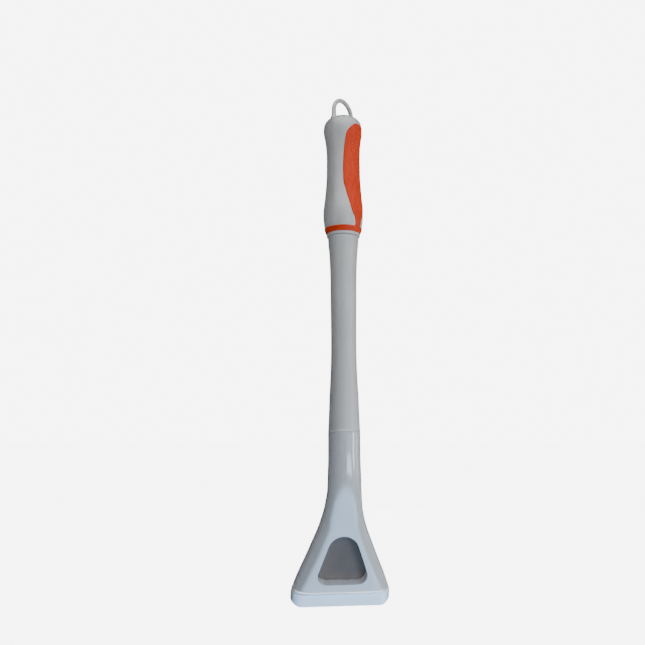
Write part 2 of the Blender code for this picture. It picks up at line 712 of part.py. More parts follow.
def build_blade(parent):
    half, low, high, front, back = BLADE
    edge = [(-half, front, low + BLADE_EDGE), (-half, front, high), (-half, back, high), (-half, back, low)]
    blade = solid(extruded(edge, (2 * half, 0.0, 0.0)))
    clamp = solid(block(*CLAMP))
    radius, head_radius = CLAMP_SCREW[:2]
    for across, up in CLAMP_SCREWS:
        combine(blade, pin(across, up, radius + 0.3, -2.0, 4.0), "DIFFERENCE")
        combine(clamp, pin(across, up, radius + 0.3, 0.0, 6.0), "DIFFERENCE")
        sink = pin(across, up, head_radius + 0.3, CLAMP_SCREW_SEAT - 0.15, 6.0, 20)
        combine(clamp, sink, "DIFFERENCE")
    placed("blade", meshed("blade", to_bmesh(blade), STEEL), parent)
    placed("blade_clamp", meshed("blade_clamp", to_bmesh(clamp), GREY), parent)
    mesh = screw_mesh("clamp_screw", *CLAMP_SCREW)
    for k, (across, up) in enumerate(CLAMP_SCREWS):
        placed(f"clamp_screw_{k + 1}", mesh, parent, (across, CLAMP_SCREW_SEAT, up), OUT_OF_BACK)


def build_guard(parent):
    guard = solid(lofted([face_ring(*station) for station in GUARD_STATIONS]))
    combine(guard, block(*GUARD_POCKET), "DIFFERENCE")
    placed("blade_guard", meshed("blade_guard", to_bmesh(guard), WHITE), parent)


for old in list(bpy.data.objects):
    bpy.data.objects.remove(old)

WHITE = material("white_plastic", (0.80, 0.81, 0.83), 0.28)
ORANGE = material("orange_soft", (0.86, 0.16, 0.03), 0.6)
DARK = material("dark_plastic", (0.10, 0.10, 0.11), 0.55)
GREY = material("grey_plastic", (0.45, 0.46, 0.48), 0.4)
BLACK = material("black_rubber", (0.02, 0.02, 0.02), 0.7)
STEEL = material("steel", (0.62, 0.63, 0.65), 0.3, 1.0)

handle_frame = empty("handle_frame", None, (0.0, 0.0, 0.0))
head_travel = empty("head_travel", handle_frame, (0.0, 0.0, row_z(TURN_HEIGHT)))
head_turn = empty("head_turn", head_travel, (0.0, 0.0, 0.0))
head_face = empty("head_face", head_turn, FOOT - Vector((0.0, 0.0, row_z(TURN_HEIGHT))), LEAN)
guard_slide = empty("guard_slide", head_face, (0.0, 0.0, 0.0))
build_end_cap(handle_frame)
build_grip(handle_frame)
build_tube(handle_frame, head_travel)
build_head(head_turn)
build_cover(head_face)
build_blade(head_face)
build_guard(guard_slide)
for mesh in list(bpy.data.meshes):
    if not mesh.users:
        bpy.data.meshes.remove(mesh)
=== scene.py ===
# %% [markdown]
# # A long-handled aquarium scraper
#
# The tool hangs from a loop, is held by a waisted grip with an orange soft panel, and ends in a
# flared plastic head with a window in it. A slip-on guard covers the steel blade. Each cell below
# first says what a piece is on the real tool, then how it can be made in Blender.

import math

import bmesh
import bpy
from mathutils import Matrix, Vector


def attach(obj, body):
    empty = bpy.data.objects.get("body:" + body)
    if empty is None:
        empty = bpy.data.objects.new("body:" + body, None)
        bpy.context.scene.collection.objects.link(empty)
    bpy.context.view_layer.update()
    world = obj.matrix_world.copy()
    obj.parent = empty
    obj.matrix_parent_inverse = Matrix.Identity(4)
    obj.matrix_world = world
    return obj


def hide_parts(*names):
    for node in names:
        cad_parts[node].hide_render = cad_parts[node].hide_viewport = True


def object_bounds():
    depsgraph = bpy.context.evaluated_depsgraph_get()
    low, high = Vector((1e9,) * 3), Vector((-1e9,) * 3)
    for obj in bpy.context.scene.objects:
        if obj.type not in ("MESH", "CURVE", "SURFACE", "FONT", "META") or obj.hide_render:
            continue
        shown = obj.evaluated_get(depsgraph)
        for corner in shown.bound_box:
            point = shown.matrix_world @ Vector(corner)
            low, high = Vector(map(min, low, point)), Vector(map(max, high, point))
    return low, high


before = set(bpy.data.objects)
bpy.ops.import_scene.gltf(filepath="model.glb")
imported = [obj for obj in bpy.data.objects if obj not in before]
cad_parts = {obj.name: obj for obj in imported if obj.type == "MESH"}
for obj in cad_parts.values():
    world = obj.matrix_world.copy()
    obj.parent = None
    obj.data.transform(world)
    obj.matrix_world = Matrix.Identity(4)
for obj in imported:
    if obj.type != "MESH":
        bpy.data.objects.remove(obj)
cad_low, cad_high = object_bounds()
print("nodes", sorted(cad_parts))
print("box in mm", [round(1000 * (b - a), 1) for a, b in zip(cad_low, cad_high)])

# %% [markdown]
# ## Camera
#
# The tool is seen a little from its left, from half a metre away, by a camera that stands near the
# height of the neck and looks up. A camera can be aimed with a tracking constraint, but a plain
# rotation worked out from a heading and a pitch keeps the file easy to read.

# %% Camera
HEADING = math.radians(6.84)
PITCH = math.radians(9.0)
CAMERA_PLACE = Vector((-0.0795, -0.5256, -0.2645))

lens = bpy.data.cameras.new("camera")
lens.lens = 38.8
lens.sensor_width = 36.0
camera = bpy.data.objects.new("camera", lens)
bpy.context.scene.collection.objects.link(camera)
bpy.context.scene.camera = camera
camera.location = CAMERA_PLACE
sight = Vector((
    math.sin(HEADING) * math.cos(PITCH), math.cos(HEADING) * math.cos(PITCH), math.sin(PITCH),
))
camera.rotation_mode = "QUATERNION"
camera.rotation_quaternion = sight.to_track_quat("-Z", "Y")
print("camera at", [round(v, 3) for v in camera.location])

# %% [markdown]
# ## Measures
#
# The frame's origin is the inner top of the hanging loop, where the tool rests on its hook. Every
# height here is counted in millimetres up from a datum 400 mm below the top of the loop, and one
# helper turns it into the frame's metres. A second helper draws a smooth line through a few chosen
# points, so a turned profile needs only the points that give it its shape.

# %% Heights and smooth lines
MM = 0.001
LOOP_TOP = 400.0
ROD_R = 1.8
HANG_HEIGHT = LOOP_TOP - 2 * ROD_R


def level(height):
    """The frame's Z, in metres, of a height in millimetres above the datum."""
    return (height - HANG_HEIGHT) * MM


def height_of(z):
    """The height in millimetres of a Z in metres: the way back."""
    return z / MM + HANG_HEIGHT


def smooth_value(table, at):
    """Smooth value from a falling table of height and value (a Catmull-Rom curve)."""
    if at >= table[0][0]:
        return table[0][1]
    if at <= table[-1][0]:
        return table[-1][1]
    k = next(i for i in range(len(table) - 1) if at >= table[i + 1][0])
    (h0, v0), (h1, v1) = table[k], table[k + 1]
    before = table[k - 1] if k > 0 else table[0]
    after = table[k + 2] if k + 2 < len(table) else table[-1]
    width = h1 - h0
    slope0 = (v1 - before[1]) / (h1 - before[0])
    slope1 = (after[1] - v0) / (after[0] - h0)
    t = (at - h0) / width
    return (
        (2 * t**3 - 3 * t**2 + 1) * v0 + (t**3 - 2 * t**2 + t) * width * slope0
        + (3 * t**2 - 2 * t**3) * v1 + (t**3 - t**2) * width * slope1
    )


def heights(top, bottom, step):
    """Evenly spaced heights from top down to bottom."""
    count = max(1, round((top - bottom) / step))
    return [top + (bottom - top) * k / count for k in range(count + 1)]


print("the datum is", -round(level(0.0), 4), "m below the hook")


# %% [markdown]
# ## Turning and finishing helpers
#
# Most of the handle is turned on one axis. Blender can turn a profile with the Screw modifier or
# with bmesh's spin; spin is used because the result is a plain mesh at once. The finishing helper
# gives every piece smooth shading that breaks only at real corners, a material, and its body.

# %% Turning and finishing helpers
TURN_STEPS = 144


def points_of(made):
    """The points among what a bmesh operator says it made."""
    return [g for g in made if isinstance(g, bmesh.types.BMVert)]


def edges_of(made):
    """The edges among what a bmesh operator says it made."""
    return [g for g in made if isinstance(g, bmesh.types.BMEdge)]


def turned(profile, steps=TURN_STEPS):
    """Spins a closed outline of radius and height, in millimetres, about the handle's axis."""
    bm = bmesh.new()
    corners = [bm.verts.new((r * MM, 0, level(h))) for r, h in profile]
    closing = [] if profile[0][0] < 1e-6 and profile[-1][0] < 1e-6 else [(corners[-1], corners[0])]
    edges = [bm.edges.new(pair) for pair in list(zip(corners, corners[1:])) + closing]
    bmesh.ops.spin(
        bm, geom=corners + edges, axis=(0, 0, 1), cent=(0, 0, 0),
        angle=2 * math.pi, steps=steps, use_merge=True,
    )
    bmesh.ops.remove_doubles(bm, verts=bm.verts, dist=1e-6)
    return bm


def rounded_corner(centre, radius, start, end, steps=5):
    """Points of an arc in a profile: centre as radius and height, angles in degrees."""
    angles = [math.radians(start + (end - start) * k / steps) for k in range(steps + 1)]
    return [(centre[0] + radius * math.cos(a), centre[1] + radius * math.sin(a)) for a in angles]


print("a full turn has", TURN_STEPS, "steps")


# %% From bmesh to objects
def as_object(name, bm):
    """The bmesh as an object at the origin, with its faces pointing out."""
    bmesh.ops.recalc_face_normals(bm, faces=bm.faces)
    mesh = bpy.data.meshes.new(name)
    bm.to_mesh(mesh)
    bm.free()
    made = bpy.data.objects.new(name, mesh)
    bpy.context.scene.collection.objects.link(made)
    return made


def combined(bm, partner, operation):
    """The bmesh after one boolean step with the partner bmesh."""
    first, second = as_object("work", bm), as_object("tool", partner)
    step = first.modifiers.new("step", "BOOLEAN")
    step.operation = operation
    step.solver = "EXACT"
    step.object = second
    seen = first.evaluated_get(bpy.context.evaluated_depsgraph_get())
    result = bmesh.new()
    result.from_mesh(seen.to_mesh())
    seen.to_mesh_clear()
    for used in (first, second):
        mesh = used.data
        bpy.data.objects.remove(used)
        bpy.data.meshes.remove(mesh)
    bmesh.ops.remove_doubles(result, verts=result.verts, dist=2e-6)
    bmesh.ops.dissolve_degenerate(result, edges=result.edges, dist=1e-6)
    return result


def cut(bm, tool):
    """The bmesh with the tool's shape taken out of it."""
    return combined(bm, tool, "DIFFERENCE")


def finished(name, bm, material, body, nodes, sharp=40):
    """The piece as an object at the origin, riding on its body in place of its CAD nodes."""
    bmesh.ops.remove_doubles(bm, verts=bm.verts, dist=1e-6)
    piece = as_object(name, bm)
    piece.data.shade_smooth()
    piece.data.set_sharp_from_angle(angle=math.radians(sharp))
    piece.data.materials.append(material)
    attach(piece, body)
    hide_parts(*nodes)
    print(name, len(piece.data.polygons), "faces")
    return piece


print("meshes so far", len(bpy.data.meshes))


# %% [markdown]
# ## Shared finish effects
#
# Moulded plastic is never one flat value. Its gloss drifts where hands and packing have rubbed it,
# its colour drifts by a hair, and its skin is faintly wavy. Three small node groups hold these
# effects, so each material places them with its own numbers.

# %% Node helpers
def fill(tree, node, values=None, links=None):
    """Sets a node's inputs (socket: value) and links them (socket: source)."""
    for key, value in (values or {}).items():
        node.inputs[key].default_value = value
    for key, source in (links or {}).items():
        tree.links.new(source, node.inputs[key])


def add(tree, kind, values=None, links=None, **settings):
    """Adds a node, sets its properties, and fills its inputs."""
    made = tree.nodes.new(kind)
    for key, value in settings.items():
        setattr(made, key, value)
    fill(tree, made, values, links)
    return made


def new_group(name, inputs, outputs):
    """A shader group with float sockets, its inputs' sockets and the object's coordinates."""
    group = bpy.data.node_groups.new(name, "ShaderNodeTree")
    for label, value in inputs:
        socket = group.interface.new_socket(label, in_out="INPUT", socket_type="NodeSocketFloat")
        socket.default_value = value
    for label in outputs:
        group.interface.new_socket(label, in_out="OUTPUT", socket_type="NodeSocketFloat")
    place = add(group, "ShaderNodeTexCoord").outputs["Object"]
    return group, add(group, "NodeGroupInput").outputs, place


def maths(tree, operation, *terms, use_clamp=False):
    """A Math node's result; each term is a number or a socket to link."""
    values = {k: term for k, term in enumerate(terms) if isinstance(term, float)}
    links = {k: term for k, term in enumerate(terms) if k not in values}
    made = add(tree, "ShaderNodeMath", values, links, operation=operation, use_clamp=use_clamp)
    return made.outputs[0]


def ranged(tree, source, low, high, to_low, to_high):
    """Maps a value from one range to another."""
    node = add(
        tree, "ShaderNodeMapRange",
        {"From Min": low, "From Max": high, "To Min": to_low, "To Max": to_high},
        {"Value": source},
    )
    return node.outputs["Result"]


def new_material(name, values):
    """A new material, its node tree and its main shader with some values set."""
    material = bpy.data.materials.new(name)
    material.use_nodes = True
    tree = material.node_tree
    shader = tree.nodes["Principled BSDF"]
    fill(tree, shader, values)
    return material, tree, shader


print("shader groups so far", len(bpy.data.node_groups))

# %% Gloss drift: rubbed patches and hairline scratches
gloss_drift, inside, place = new_group(
    "gloss_drift", [("Base", 0.3), ("Spread", 0.08), ("Patch Size", 60.0)], ["Roughness"],
)
patches = add(
    gloss_drift, "ShaderNodeTexNoise", {"Detail": 4.0, "Roughness": 0.55},
    {"Vector": place, "Scale": inside["Patch Size"]},
)
stretch = add(
    gloss_drift, "ShaderNodeMapping",
    {"Scale": (1400.0, 1400.0, 60.0), "Rotation": (0.3, 0.2, 0.5)},
    {"Vector": place},
)
hairlines = add(
    gloss_drift, "ShaderNodeTexNoise", {"Scale": 1.0, "Detail": 2.0},
    {"Vector": stretch.outputs["Vector"]},
)
scratch_mask = ranged(gloss_drift, hairlines.outputs["Fac"], 0.62, 0.78, 0.0, 1.0)
patch_amount = ranged(gloss_drift, patches.outputs["Fac"], 0.3, 0.7, -0.5, 0.5)
both = maths(gloss_drift, "ADD", scratch_mask, patch_amount)
spread = maths(gloss_drift, "MULTIPLY", both, inside["Spread"])
total = maths(gloss_drift, "ADD", spread, inside["Base"], use_clamp=True)
add(gloss_drift, "NodeGroupOutput", None, {"Roughness": total})
print("gloss_drift", len(gloss_drift.nodes), "nodes")

# %% Moulded skin: long soft waves with a fine grain on them
moulded_skin, inside, place = new_group(
    "moulded_skin", [("Wave Size", 45.0), ("Wave", 0.5), ("Grain Size", 2600.0), ("Grain", 0.1)],
    ["Height", "Drift"],
)
waves = add(
    moulded_skin, "ShaderNodeTexNoise", {"Detail": 1.0},
    {"Vector": place, "Scale": inside["Wave Size"]},
)
grain = add(
    moulded_skin, "ShaderNodeTexNoise", {"Detail": 2.0},
    {"Vector": place, "Scale": inside["Grain Size"]},
)
wave_part = maths(moulded_skin, "MULTIPLY", waves.outputs["Fac"], inside["Wave"])
skin_height = maths(
    moulded_skin, "MULTIPLY_ADD", grain.outputs["Fac"], inside["Grain"], wave_part,
)
add(
    moulded_skin, "NodeGroupOutput", None, {"Height": skin_height, "Drift": waves.outputs["Fac"]},
)
print("moulded_skin", len(moulded_skin.nodes), "nodes")

# %% Dust: pale specks that settle on a surface that has hung in a shop
shop_dust, inside, place = new_group(
    "shop_dust", [("Speck Size", 900.0), ("Amount", 0.3)], ["Mask"],
)
specks = add(
    shop_dust, "ShaderNodeTexVoronoi", None,
    {"Vector": place, "Scale": inside["Speck Size"]},
)
near = ranged(shop_dust, specks.outputs["Distance"], 0.04, 0.12, 1.0, 0.0)
drifts = add(
    shop_dust, "ShaderNodeTexNoise", {"Scale": 55.0, "Detail": 3.0},
    {"Vector": place},
)
where = ranged(shop_dust, drifts.outputs["Fac"], 0.5, 0.72, 0.0, 1.0)
dusty = maths(shop_dust, "MULTIPLY", near, where)
dust_amount = maths(shop_dust, "MULTIPLY", dusty, inside["Amount"], use_clamp=True)
add(shop_dust, "NodeGroupOutput", None, {"Mask": dust_amount})
print("shop_dust", len(shop_dust.nodes), "nodes")

# %% [markdown]
# ## Materials
#
# All the plastics share one recipe: two close tones mixed by the skin's slow drift, a little dust,
# a gloss that wanders, and a bump from the skin. Only the numbers differ, so one function makes
# them and each finish is a single call.

# %% Plastic and rubber recipe
DUST_TONE = (0.62, 0.60, 0.57, 1.0)
COAT_ROUGHNESS = 0.09
TONE_A, TONE_B = 6, 7  # the Mix node's two colour inputs


def plastic(
    name, tone, tone_far, rough, spread, skin, dust, coat=0.0, specular=0.5, coat_ior=1.5,
):
    """A moulded finish; skin holds wave size, wave, grain size, grain and the bump's distance."""
    material, tree, shader = new_material(name, {
        "Coat Weight": coat, "Coat Roughness": COAT_ROUGHNESS, "Coat IOR": coat_ior,
        "Specular IOR Level": specular,
    })
    surface = add(
        tree, "ShaderNodeGroup", dict(zip(("Wave Size", "Wave", "Grain Size", "Grain"), skin)),
        node_tree=moulded_skin,
    )
    tones = add(
        tree, "ShaderNodeMix", {TONE_A: (*tone, 1.0), TONE_B: (*tone_far, 1.0)},
        {"Factor": ranged(tree, surface.outputs["Drift"], 0.35, 0.65, 0.0, 1.0)},
        data_type="RGBA",
    )
    specks = add(tree, "ShaderNodeGroup", {"Amount": dust}, node_tree=shop_dust)
    dusted = add(
        tree, "ShaderNodeMix", {TONE_B: DUST_TONE},
        {"Factor": specks.outputs["Mask"], TONE_A: tones.outputs[2]}, data_type="RGBA",
    )
    gloss = add(tree, "ShaderNodeGroup", {"Base": rough, "Spread": spread}, node_tree=gloss_drift)
    bump = add(
        tree, "ShaderNodeBump", {"Strength": 0.5, "Distance": skin[4] * MM},
        {"Height": surface.outputs["Height"]},
    )
    fill(tree, shader, None, {
        "Base Color": dusted.outputs[2], "Roughness": gloss.outputs["Roughness"],
        "Normal": bump.outputs["Normal"],
    })
    return material


print("dust tone", DUST_TONE)


# %% The tool's plastics
white_satin = plastic(
    "white_satin_plastic", (0.575, 0.575, 0.57), (0.54, 0.54, 0.535), 0.36, 0.09,
    (38.0, 1.0, 2400.0, 0.10, 0.16), 0.25, coat=0.05,
)
# The head's faint blue tint is painted cool light: it stands in for the light its down-turned face
# takes from below.
head_painted_cool_white = plastic(
    "head_painted_cool_white_plastic", (0.60, 0.62, 0.65), (0.57, 0.59, 0.62), 0.24, 0.08,
    (38.0, 1.0, 2400.0, 0.05, 0.12), 0.2, coat=1.0,
)
# The guard's lighter, bluer tone is partly its own plastic and partly painted light: the cool light
# its down-turned lip takes from below.
guard_painted_light = plastic(
    "guard_painted_light_plastic", (0.76, 0.84, 0.95), (0.72, 0.81, 0.93), 0.2, 0.07,
    (52.0, 1.0, 2400.0, 0.04, 0.2), 0.15, coat=1.0, specular=0.8, coat_ior=1.9,
)
orange_soft = plastic(
    "orange_soft_rubber", (0.76, 0.05, 0.006), (0.70, 0.043, 0.005), 0.5, 0.1,
    (60.0, 0.2, 1900.0, 0.9, 0.08), 0.15, specular=0.22,
)
# The rear cover's dark tone is painted shade: it makes the inside of the window read as a shaded
# hollow.
painted_shade_dark = plastic(
    "painted_shade_dark_plastic", (0.205, 0.178, 0.170), (0.175, 0.152, 0.146), 0.45, 0.1,
    (50.0, 0.2, 1500.0, 1.0, 0.1), 0.3, specular=0.1,
)
grey_matt = plastic(
    "grey_clamp_plastic", (0.30, 0.31, 0.33), (0.26, 0.27, 0.29), 0.42, 0.1,
    (50.0, 0.3, 1800.0, 0.6, 0.12), 0.2,
)
black_rubber = plastic(
    "black_seal_rubber", (0.018, 0.018, 0.019), (0.026, 0.026, 0.027), 0.55, 0.15,
    (90.0, 0.3, 2600.0, 0.8, 0.1), 0.3, specular=0.4,
)
print("plastics", [m.name for m in bpy.data.materials if m.name.endswith(("plastic", "rubber"))])

# %% [markdown]
# Steel is told from plastic by its direction: rolling and grinding leave fine parallel lines. A
# noise stretched hard along one axis gives the lines, and drives both the gloss and the bump.


# %% Brushed steel
def brushed_steel(name, along, rough):
    """Stainless steel with its lines along one axis: along holds the noise scale per axis."""
    material, tree, shader = new_material(name, {"Metallic": 1.0})
    place = add(tree, "ShaderNodeTexCoord")
    drawn = add(
        tree, "ShaderNodeMapping", {"Scale": along}, {"Vector": place.outputs["Object"]},
    )
    lines = add(
        tree, "ShaderNodeTexNoise", {"Scale": 1.0, "Detail": 5.0, "Roughness": 0.65},
        {"Vector": drawn.outputs["Vector"]},
    )
    tone = add(tree, "ShaderNodeValToRGB", None, {"Fac": lines.outputs["Fac"]})
    stops = [(0.3, (0.46, 0.47, 0.49, 1.0)), (0.72, (0.68, 0.69, 0.71, 1.0))]
    for stop, (position, colour) in zip(tone.color_ramp.elements, stops):
        stop.position, stop.color = position, colour
    bump = add(
        tree, "ShaderNodeBump", {"Strength": 0.25, "Distance": 0.02 * MM},
        {"Height": lines.outputs["Fac"]},
    )
    fill(tree, shader, None, {
        "Base Color": tone.outputs["Color"], "Normal": bump.outputs["Normal"],
        "Roughness": ranged(tree, lines.outputs["Fac"], 0.3, 0.7, rough - 0.07, rough + 0.1),
    })
    return material


blade_steel = brushed_steel("blade_steel", (60.0, 5200.0, 5200.0), 0.24)
screw_steel = brushed_steel("screw_steel", (2600.0, 2600.0, 2600.0), 0.3)
print("steels", blade_steel.name, screw_steel.name)

# %% [markdown]
# ## Grip
#
# The grip swells at both ends and narrows in the middle, so a hand can't slide off it. It is turned
# from one smooth profile. The orange panel and band are moulded over it afterwards, so the white
# body simply carries on underneath them.

# %% Grip profile
GRIP = [
    (383.5, 5.0), (383.1, 7.7), (382.2, 10.0), (380.7, 12.2), (378.5, 14.15), (375.7, 15.2),
    (372.3, 15.5), (368.0, 15.05), (363.0, 14.1), (357.5, 13.45), (352.0, 13.1), (343.0, 13.0),
    (330.0, 13.25), (317.5, 14.3), (306.6, 15.55), (302.0, 15.75), (297.0, 15.5), (290.4, 14.6),
    (286.0, 13.0),
]
CAP_SEAM = 378.5
SEAM_GAP = 0.07
GRIP_FOOT = 286.0
TENON_BORE = 9.8


def grip_radius(height):
    """The grip's radius at a height, in millimetres."""
    return smooth_value(GRIP, height)


print("the grip's radius runs from", min(r for _, r in GRIP[4:-1]), "to", max(r for _, r in GRIP))

# %% White grip body
wall = [(grip_radius(h), h) for h in heights(CAP_SEAM - SEAM_GAP - 0.25, GRIP_FOOT, 1.0)]
rim = grip_radius(CAP_SEAM)
body_outline = [(rim - 0.25, CAP_SEAM - SEAM_GAP)] + wall + [
    (TENON_BORE, GRIP_FOOT), (TENON_BORE, 362.0), (1.9, 362.0), (1.9, 366.0), (8.9, 366.0),
    (8.9, CAP_SEAM - SEAM_GAP),
]
finished(
    "grip_body", turned(body_outline), white_satin, "handle", ["grip_core"],
)

# %% [markdown]
# ## Orange soft panel
#
# The panel is a pointed oval that wraps about a quarter of the grip and runs down through a narrow
# neck into the band. A flat grid is wrapped round the grip by moving its points, and its border is
# rounded down into the white body. Its rows of small dots are real shape and not a bump, because
# they are large enough to catch the light one by one.

# %% Panel outline
PANEL_TOP = 374.4
PANEL_HALF = [
    (366.0, 39.0), (359.0, 44.2), (352.0, 47.2), (345.0, 49.6), (335.0, 50.6), (325.0, 49.2),
    (318.0, 42.0), (311.0, 35.0), (301.0, 24.0), (296.5, 15.2), (293.5, 12.6), (289.8, 12.4),
]
PANEL_SHOULDER, SHOULDER_HALF = PANEL_HALF[0]
LOOP_TURN = math.radians(42)
PANEL_TURN = LOOP_TURN - math.pi / 2
PANEL_FOOT = PANEL_HALF[-1][0]
PANEL_PROUD = 0.45
EDGE_ROUND = 0.6
PANEL_SINK = 1.0


def panel_half(height):
    """Half the panel's angle at a height; its top is a parabola, so the tip is round."""
    if height >= PANEL_SHOULDER:
        share = max(0.0, (PANEL_TOP - height) / (PANEL_TOP - PANEL_SHOULDER))
        return math.radians(SHOULDER_HALF * math.sqrt(share))
    return math.radians(smooth_value(PANEL_HALF, height))


print("the panel is", round(PANEL_TOP - PANEL_FOOT, 1), "mm long")

# %% Raised dots and the rounded border
DOT_PITCH = 2.1
ROW_GAP = DOT_PITCH * math.sqrt(3) / 2
DOTS_FOOT = 294.0
DOT_RADIUS = 0.72
DOT_RISE = 0.4
RIGHT_BORDER = 2.2
LEFT_BORDER = [(374.0, 2.2), (366.0, 3.6), (352.0, 4.9), (335.0, 4.9), (320.0, 3.4), (300.0, 2.2)]


def dot_rise(across, height):
    """Rise of the dotted pattern: domes in staggered rows, in millimetres."""
    row = round(height / ROW_GAP)
    shift = 0.5 * DOT_PITCH * (row % 2)
    column = round((across - shift) / DOT_PITCH)
    away = math.hypot(across - shift - column * DOT_PITCH, height - row * ROW_GAP)
    return DOT_RISE * max(0.0, 1 - (away / DOT_RADIUS) ** 2) ** 0.8


def panel_rise(across, half_width, height):
    """Height of the panel's surface over the grip, falling away in a round at its border."""
    tip = (PANEL_TOP - height) * 0.8
    inward = min(half_width - abs(across), tip)
    border = min(1.0, max(0.0, inward / EDGE_ROUND))
    rise = PANEL_PROUD - (PANEL_PROUD + PANEL_SINK * 0.3) * (1 - math.sqrt(1 - (1 - border) ** 2))
    plain = smooth_value(LEFT_BORDER, height) if across < 0 else RIGHT_BORDER
    if inward > plain and height > DOTS_FOOT:
        rise += dot_rise(across, height) * min(1.0, (inward - plain) / 0.5)
    return rise


print("rows of dots are", round(ROW_GAP, 2), "mm apart")

# %% Orange panel
PANEL_ROWS = 300
PANEL_COLUMNS = 72

panel = bmesh.new()
bmesh.ops.create_grid(panel, x_segments=PANEL_COLUMNS, y_segments=PANEL_ROWS, size=1.0)
for point in panel.verts:
    down = (1 - point.co.y) / 2
    height = PANEL_TOP - (PANEL_TOP - PANEL_FOOT) * (0.75 * down + 0.25 * down**2.2)
    share = math.sin(point.co.x * math.pi / 2) * 0.35 + point.co.x * 0.65
    radius = grip_radius(height)
    angle = share * panel_half(height)
    rise = panel_rise(angle * radius, panel_half(height) * radius, height)
    turn = PANEL_TURN + angle
    reach = (radius + rise) * MM
    point.co = (reach * math.cos(turn), reach * math.sin(turn), level(height))
sheet = bmesh.ops.extrude_face_region(panel, geom=panel.faces[:])
for point in points_of(sheet["geom"]):
    reach = point.co.xy.length
    point.co.xy *= (grip_radius(height_of(point.co.z)) - PANEL_SINK) * MM / reach
finished(
    "grip_panel", panel, orange_soft, "handle", ["grip_overmould"], sharp=75,
)

# %% [markdown]
# The band is part of the same orange moulding. It is turned, and overlaps the foot of the panel's
# neck, so the two read as one piece.

# %% Orange band and white ring
BAND_TOP = 290.4
BAND_FOOT = 286.15
band_wall = [
    (grip_radius(h) + PANEL_PROUD, h) for h in heights(BAND_TOP - 0.45, BAND_FOOT + 0.35, 0.5)
]
band_outline = (
    [(grip_radius(BAND_TOP) - PANEL_SINK, BAND_TOP), (grip_radius(BAND_TOP) - 0.1, BAND_TOP)]
    + [(grip_radius(BAND_TOP) + 0.12, BAND_TOP - 0.12)] + band_wall
    + [(grip_radius(BAND_FOOT) + 0.02, BAND_FOOT), (grip_radius(BAND_FOOT) - PANEL_SINK, BAND_FOOT)]
)
finished(
    "grip_band", turned(band_outline), orange_soft, "handle", ["grip_overmould"],
)
RING_TOP = 286.02
RING_FOOT = 283.85
RING_R = 13.2
ring_outline = (
    rounded_corner((RING_R - 0.5, RING_TOP - 0.5), 0.5, 90, 0)
    + rounded_corner((RING_R - 0.5, RING_FOOT + 0.5), 0.5, 0, -90)
    + [(TENON_BORE, RING_FOOT), (TENON_BORE, RING_TOP)]
)
finished(
    "white_ring", turned(ring_outline), white_satin, "handle", ["grip_collar"],
)

# %% [markdown]
# ## End cap with its hanging loop
#
# The cap closes the grip with a dome, and the loop grows out of it in the same moulding. The rod of
# the loop is a circle pushed up one leg, swept round the arch with spin and pushed down the other
# leg. Its feet flare where they meet the dome, as a moulded fillet does.

# %% End cap
ARCH_R = 10.9
ARCH_HEIGHT = LOOP_TOP - ROD_R - ARCH_R
FOOT_RINGS = [(379.3, 3.0), (381.3, 2.6), (382.2, 2.25), (383.1, 2.0), (384.3, 1.85)]
DOME_TOP = 383.6

dome = [(0.0, DOME_TOP)] + [(r, h) for h, r in GRIP[:1]]
dome += [(grip_radius(h), h) for h in heights(383.4, CAP_SEAM + 0.3, 0.35)]
cap_outline = dome + [
    (rim - 0.2, CAP_SEAM), (8.6, CAP_SEAM), (8.6, 371.2), (6.6, 371.2), (6.6, 379.5), (0.0, 379.5),
]
cap = turned(cap_outline)


def pushed_ring(bm, ring, place_of):
    """Extrudes an open ring of edges once and puts the new points where place_of says."""
    made = bmesh.ops.extrude_edge_only(bm, edges=ring)["geom"]
    for point in points_of(made):
        point.co = place_of(point.co)
    return [e for e in edges_of(made) if len(e.link_faces) == 1]


loop = bmesh.new()
circle = bmesh.ops.create_circle(loop, segments=32, radius=1.0)["verts"]
first_height, first_r = FOOT_RINGS[0]
for point in circle:
    point.co = (ARCH_R + point.co.x * first_r, point.co.y * first_r, first_height)
ring = list({e for v in circle for e in v.link_edges})
loop.faces.new(circle)
last_r = first_r
for height, radius in FOOT_RINGS[1:] + [(386.2, ROD_R), (ARCH_HEIGHT, ROD_R)]:
    grow = radius / last_r
    ring = pushed_ring(
        loop, ring, lambda co: Vector((ARCH_R + (co.x - ARCH_R) * grow, co.y * grow, height)),
    )
    last_r = radius
bmesh.ops.spin(
    loop, geom=ring, axis=(0, -1, 0), cent=(0, 0, ARCH_HEIGHT), angle=math.pi / 2, steps=20,
)
whole = loop.verts[:] + loop.edges[:] + loop.faces[:]
bmesh.ops.mirror(loop, geom=whole, axis="X", merge_dist=1e-5)
bmesh.ops.remove_doubles(loop, verts=loop.verts, dist=1e-4)
bmesh.ops.rotate(loop, verts=loop.verts, cent=(0, 0, 0), matrix=Matrix.Rotation(LOOP_TURN, 3, "Z"))
for point in loop.verts:
    point.co = (point.co.x * MM, point.co.y * MM, level(point.co.z))
cap = combined(cap, loop, "UNION")
finished("end_cap_loop", cap, white_satin, "handle", ["end_cap"], sharp=50)

# %% [markdown]
# ## Tube
#
# The long tube is thinnest in its middle and widens to meet the grip and the head. It is turned
# from one smooth profile, with the tenon that goes up into the grip and the socket that holds the
# threaded bush at its lower end.

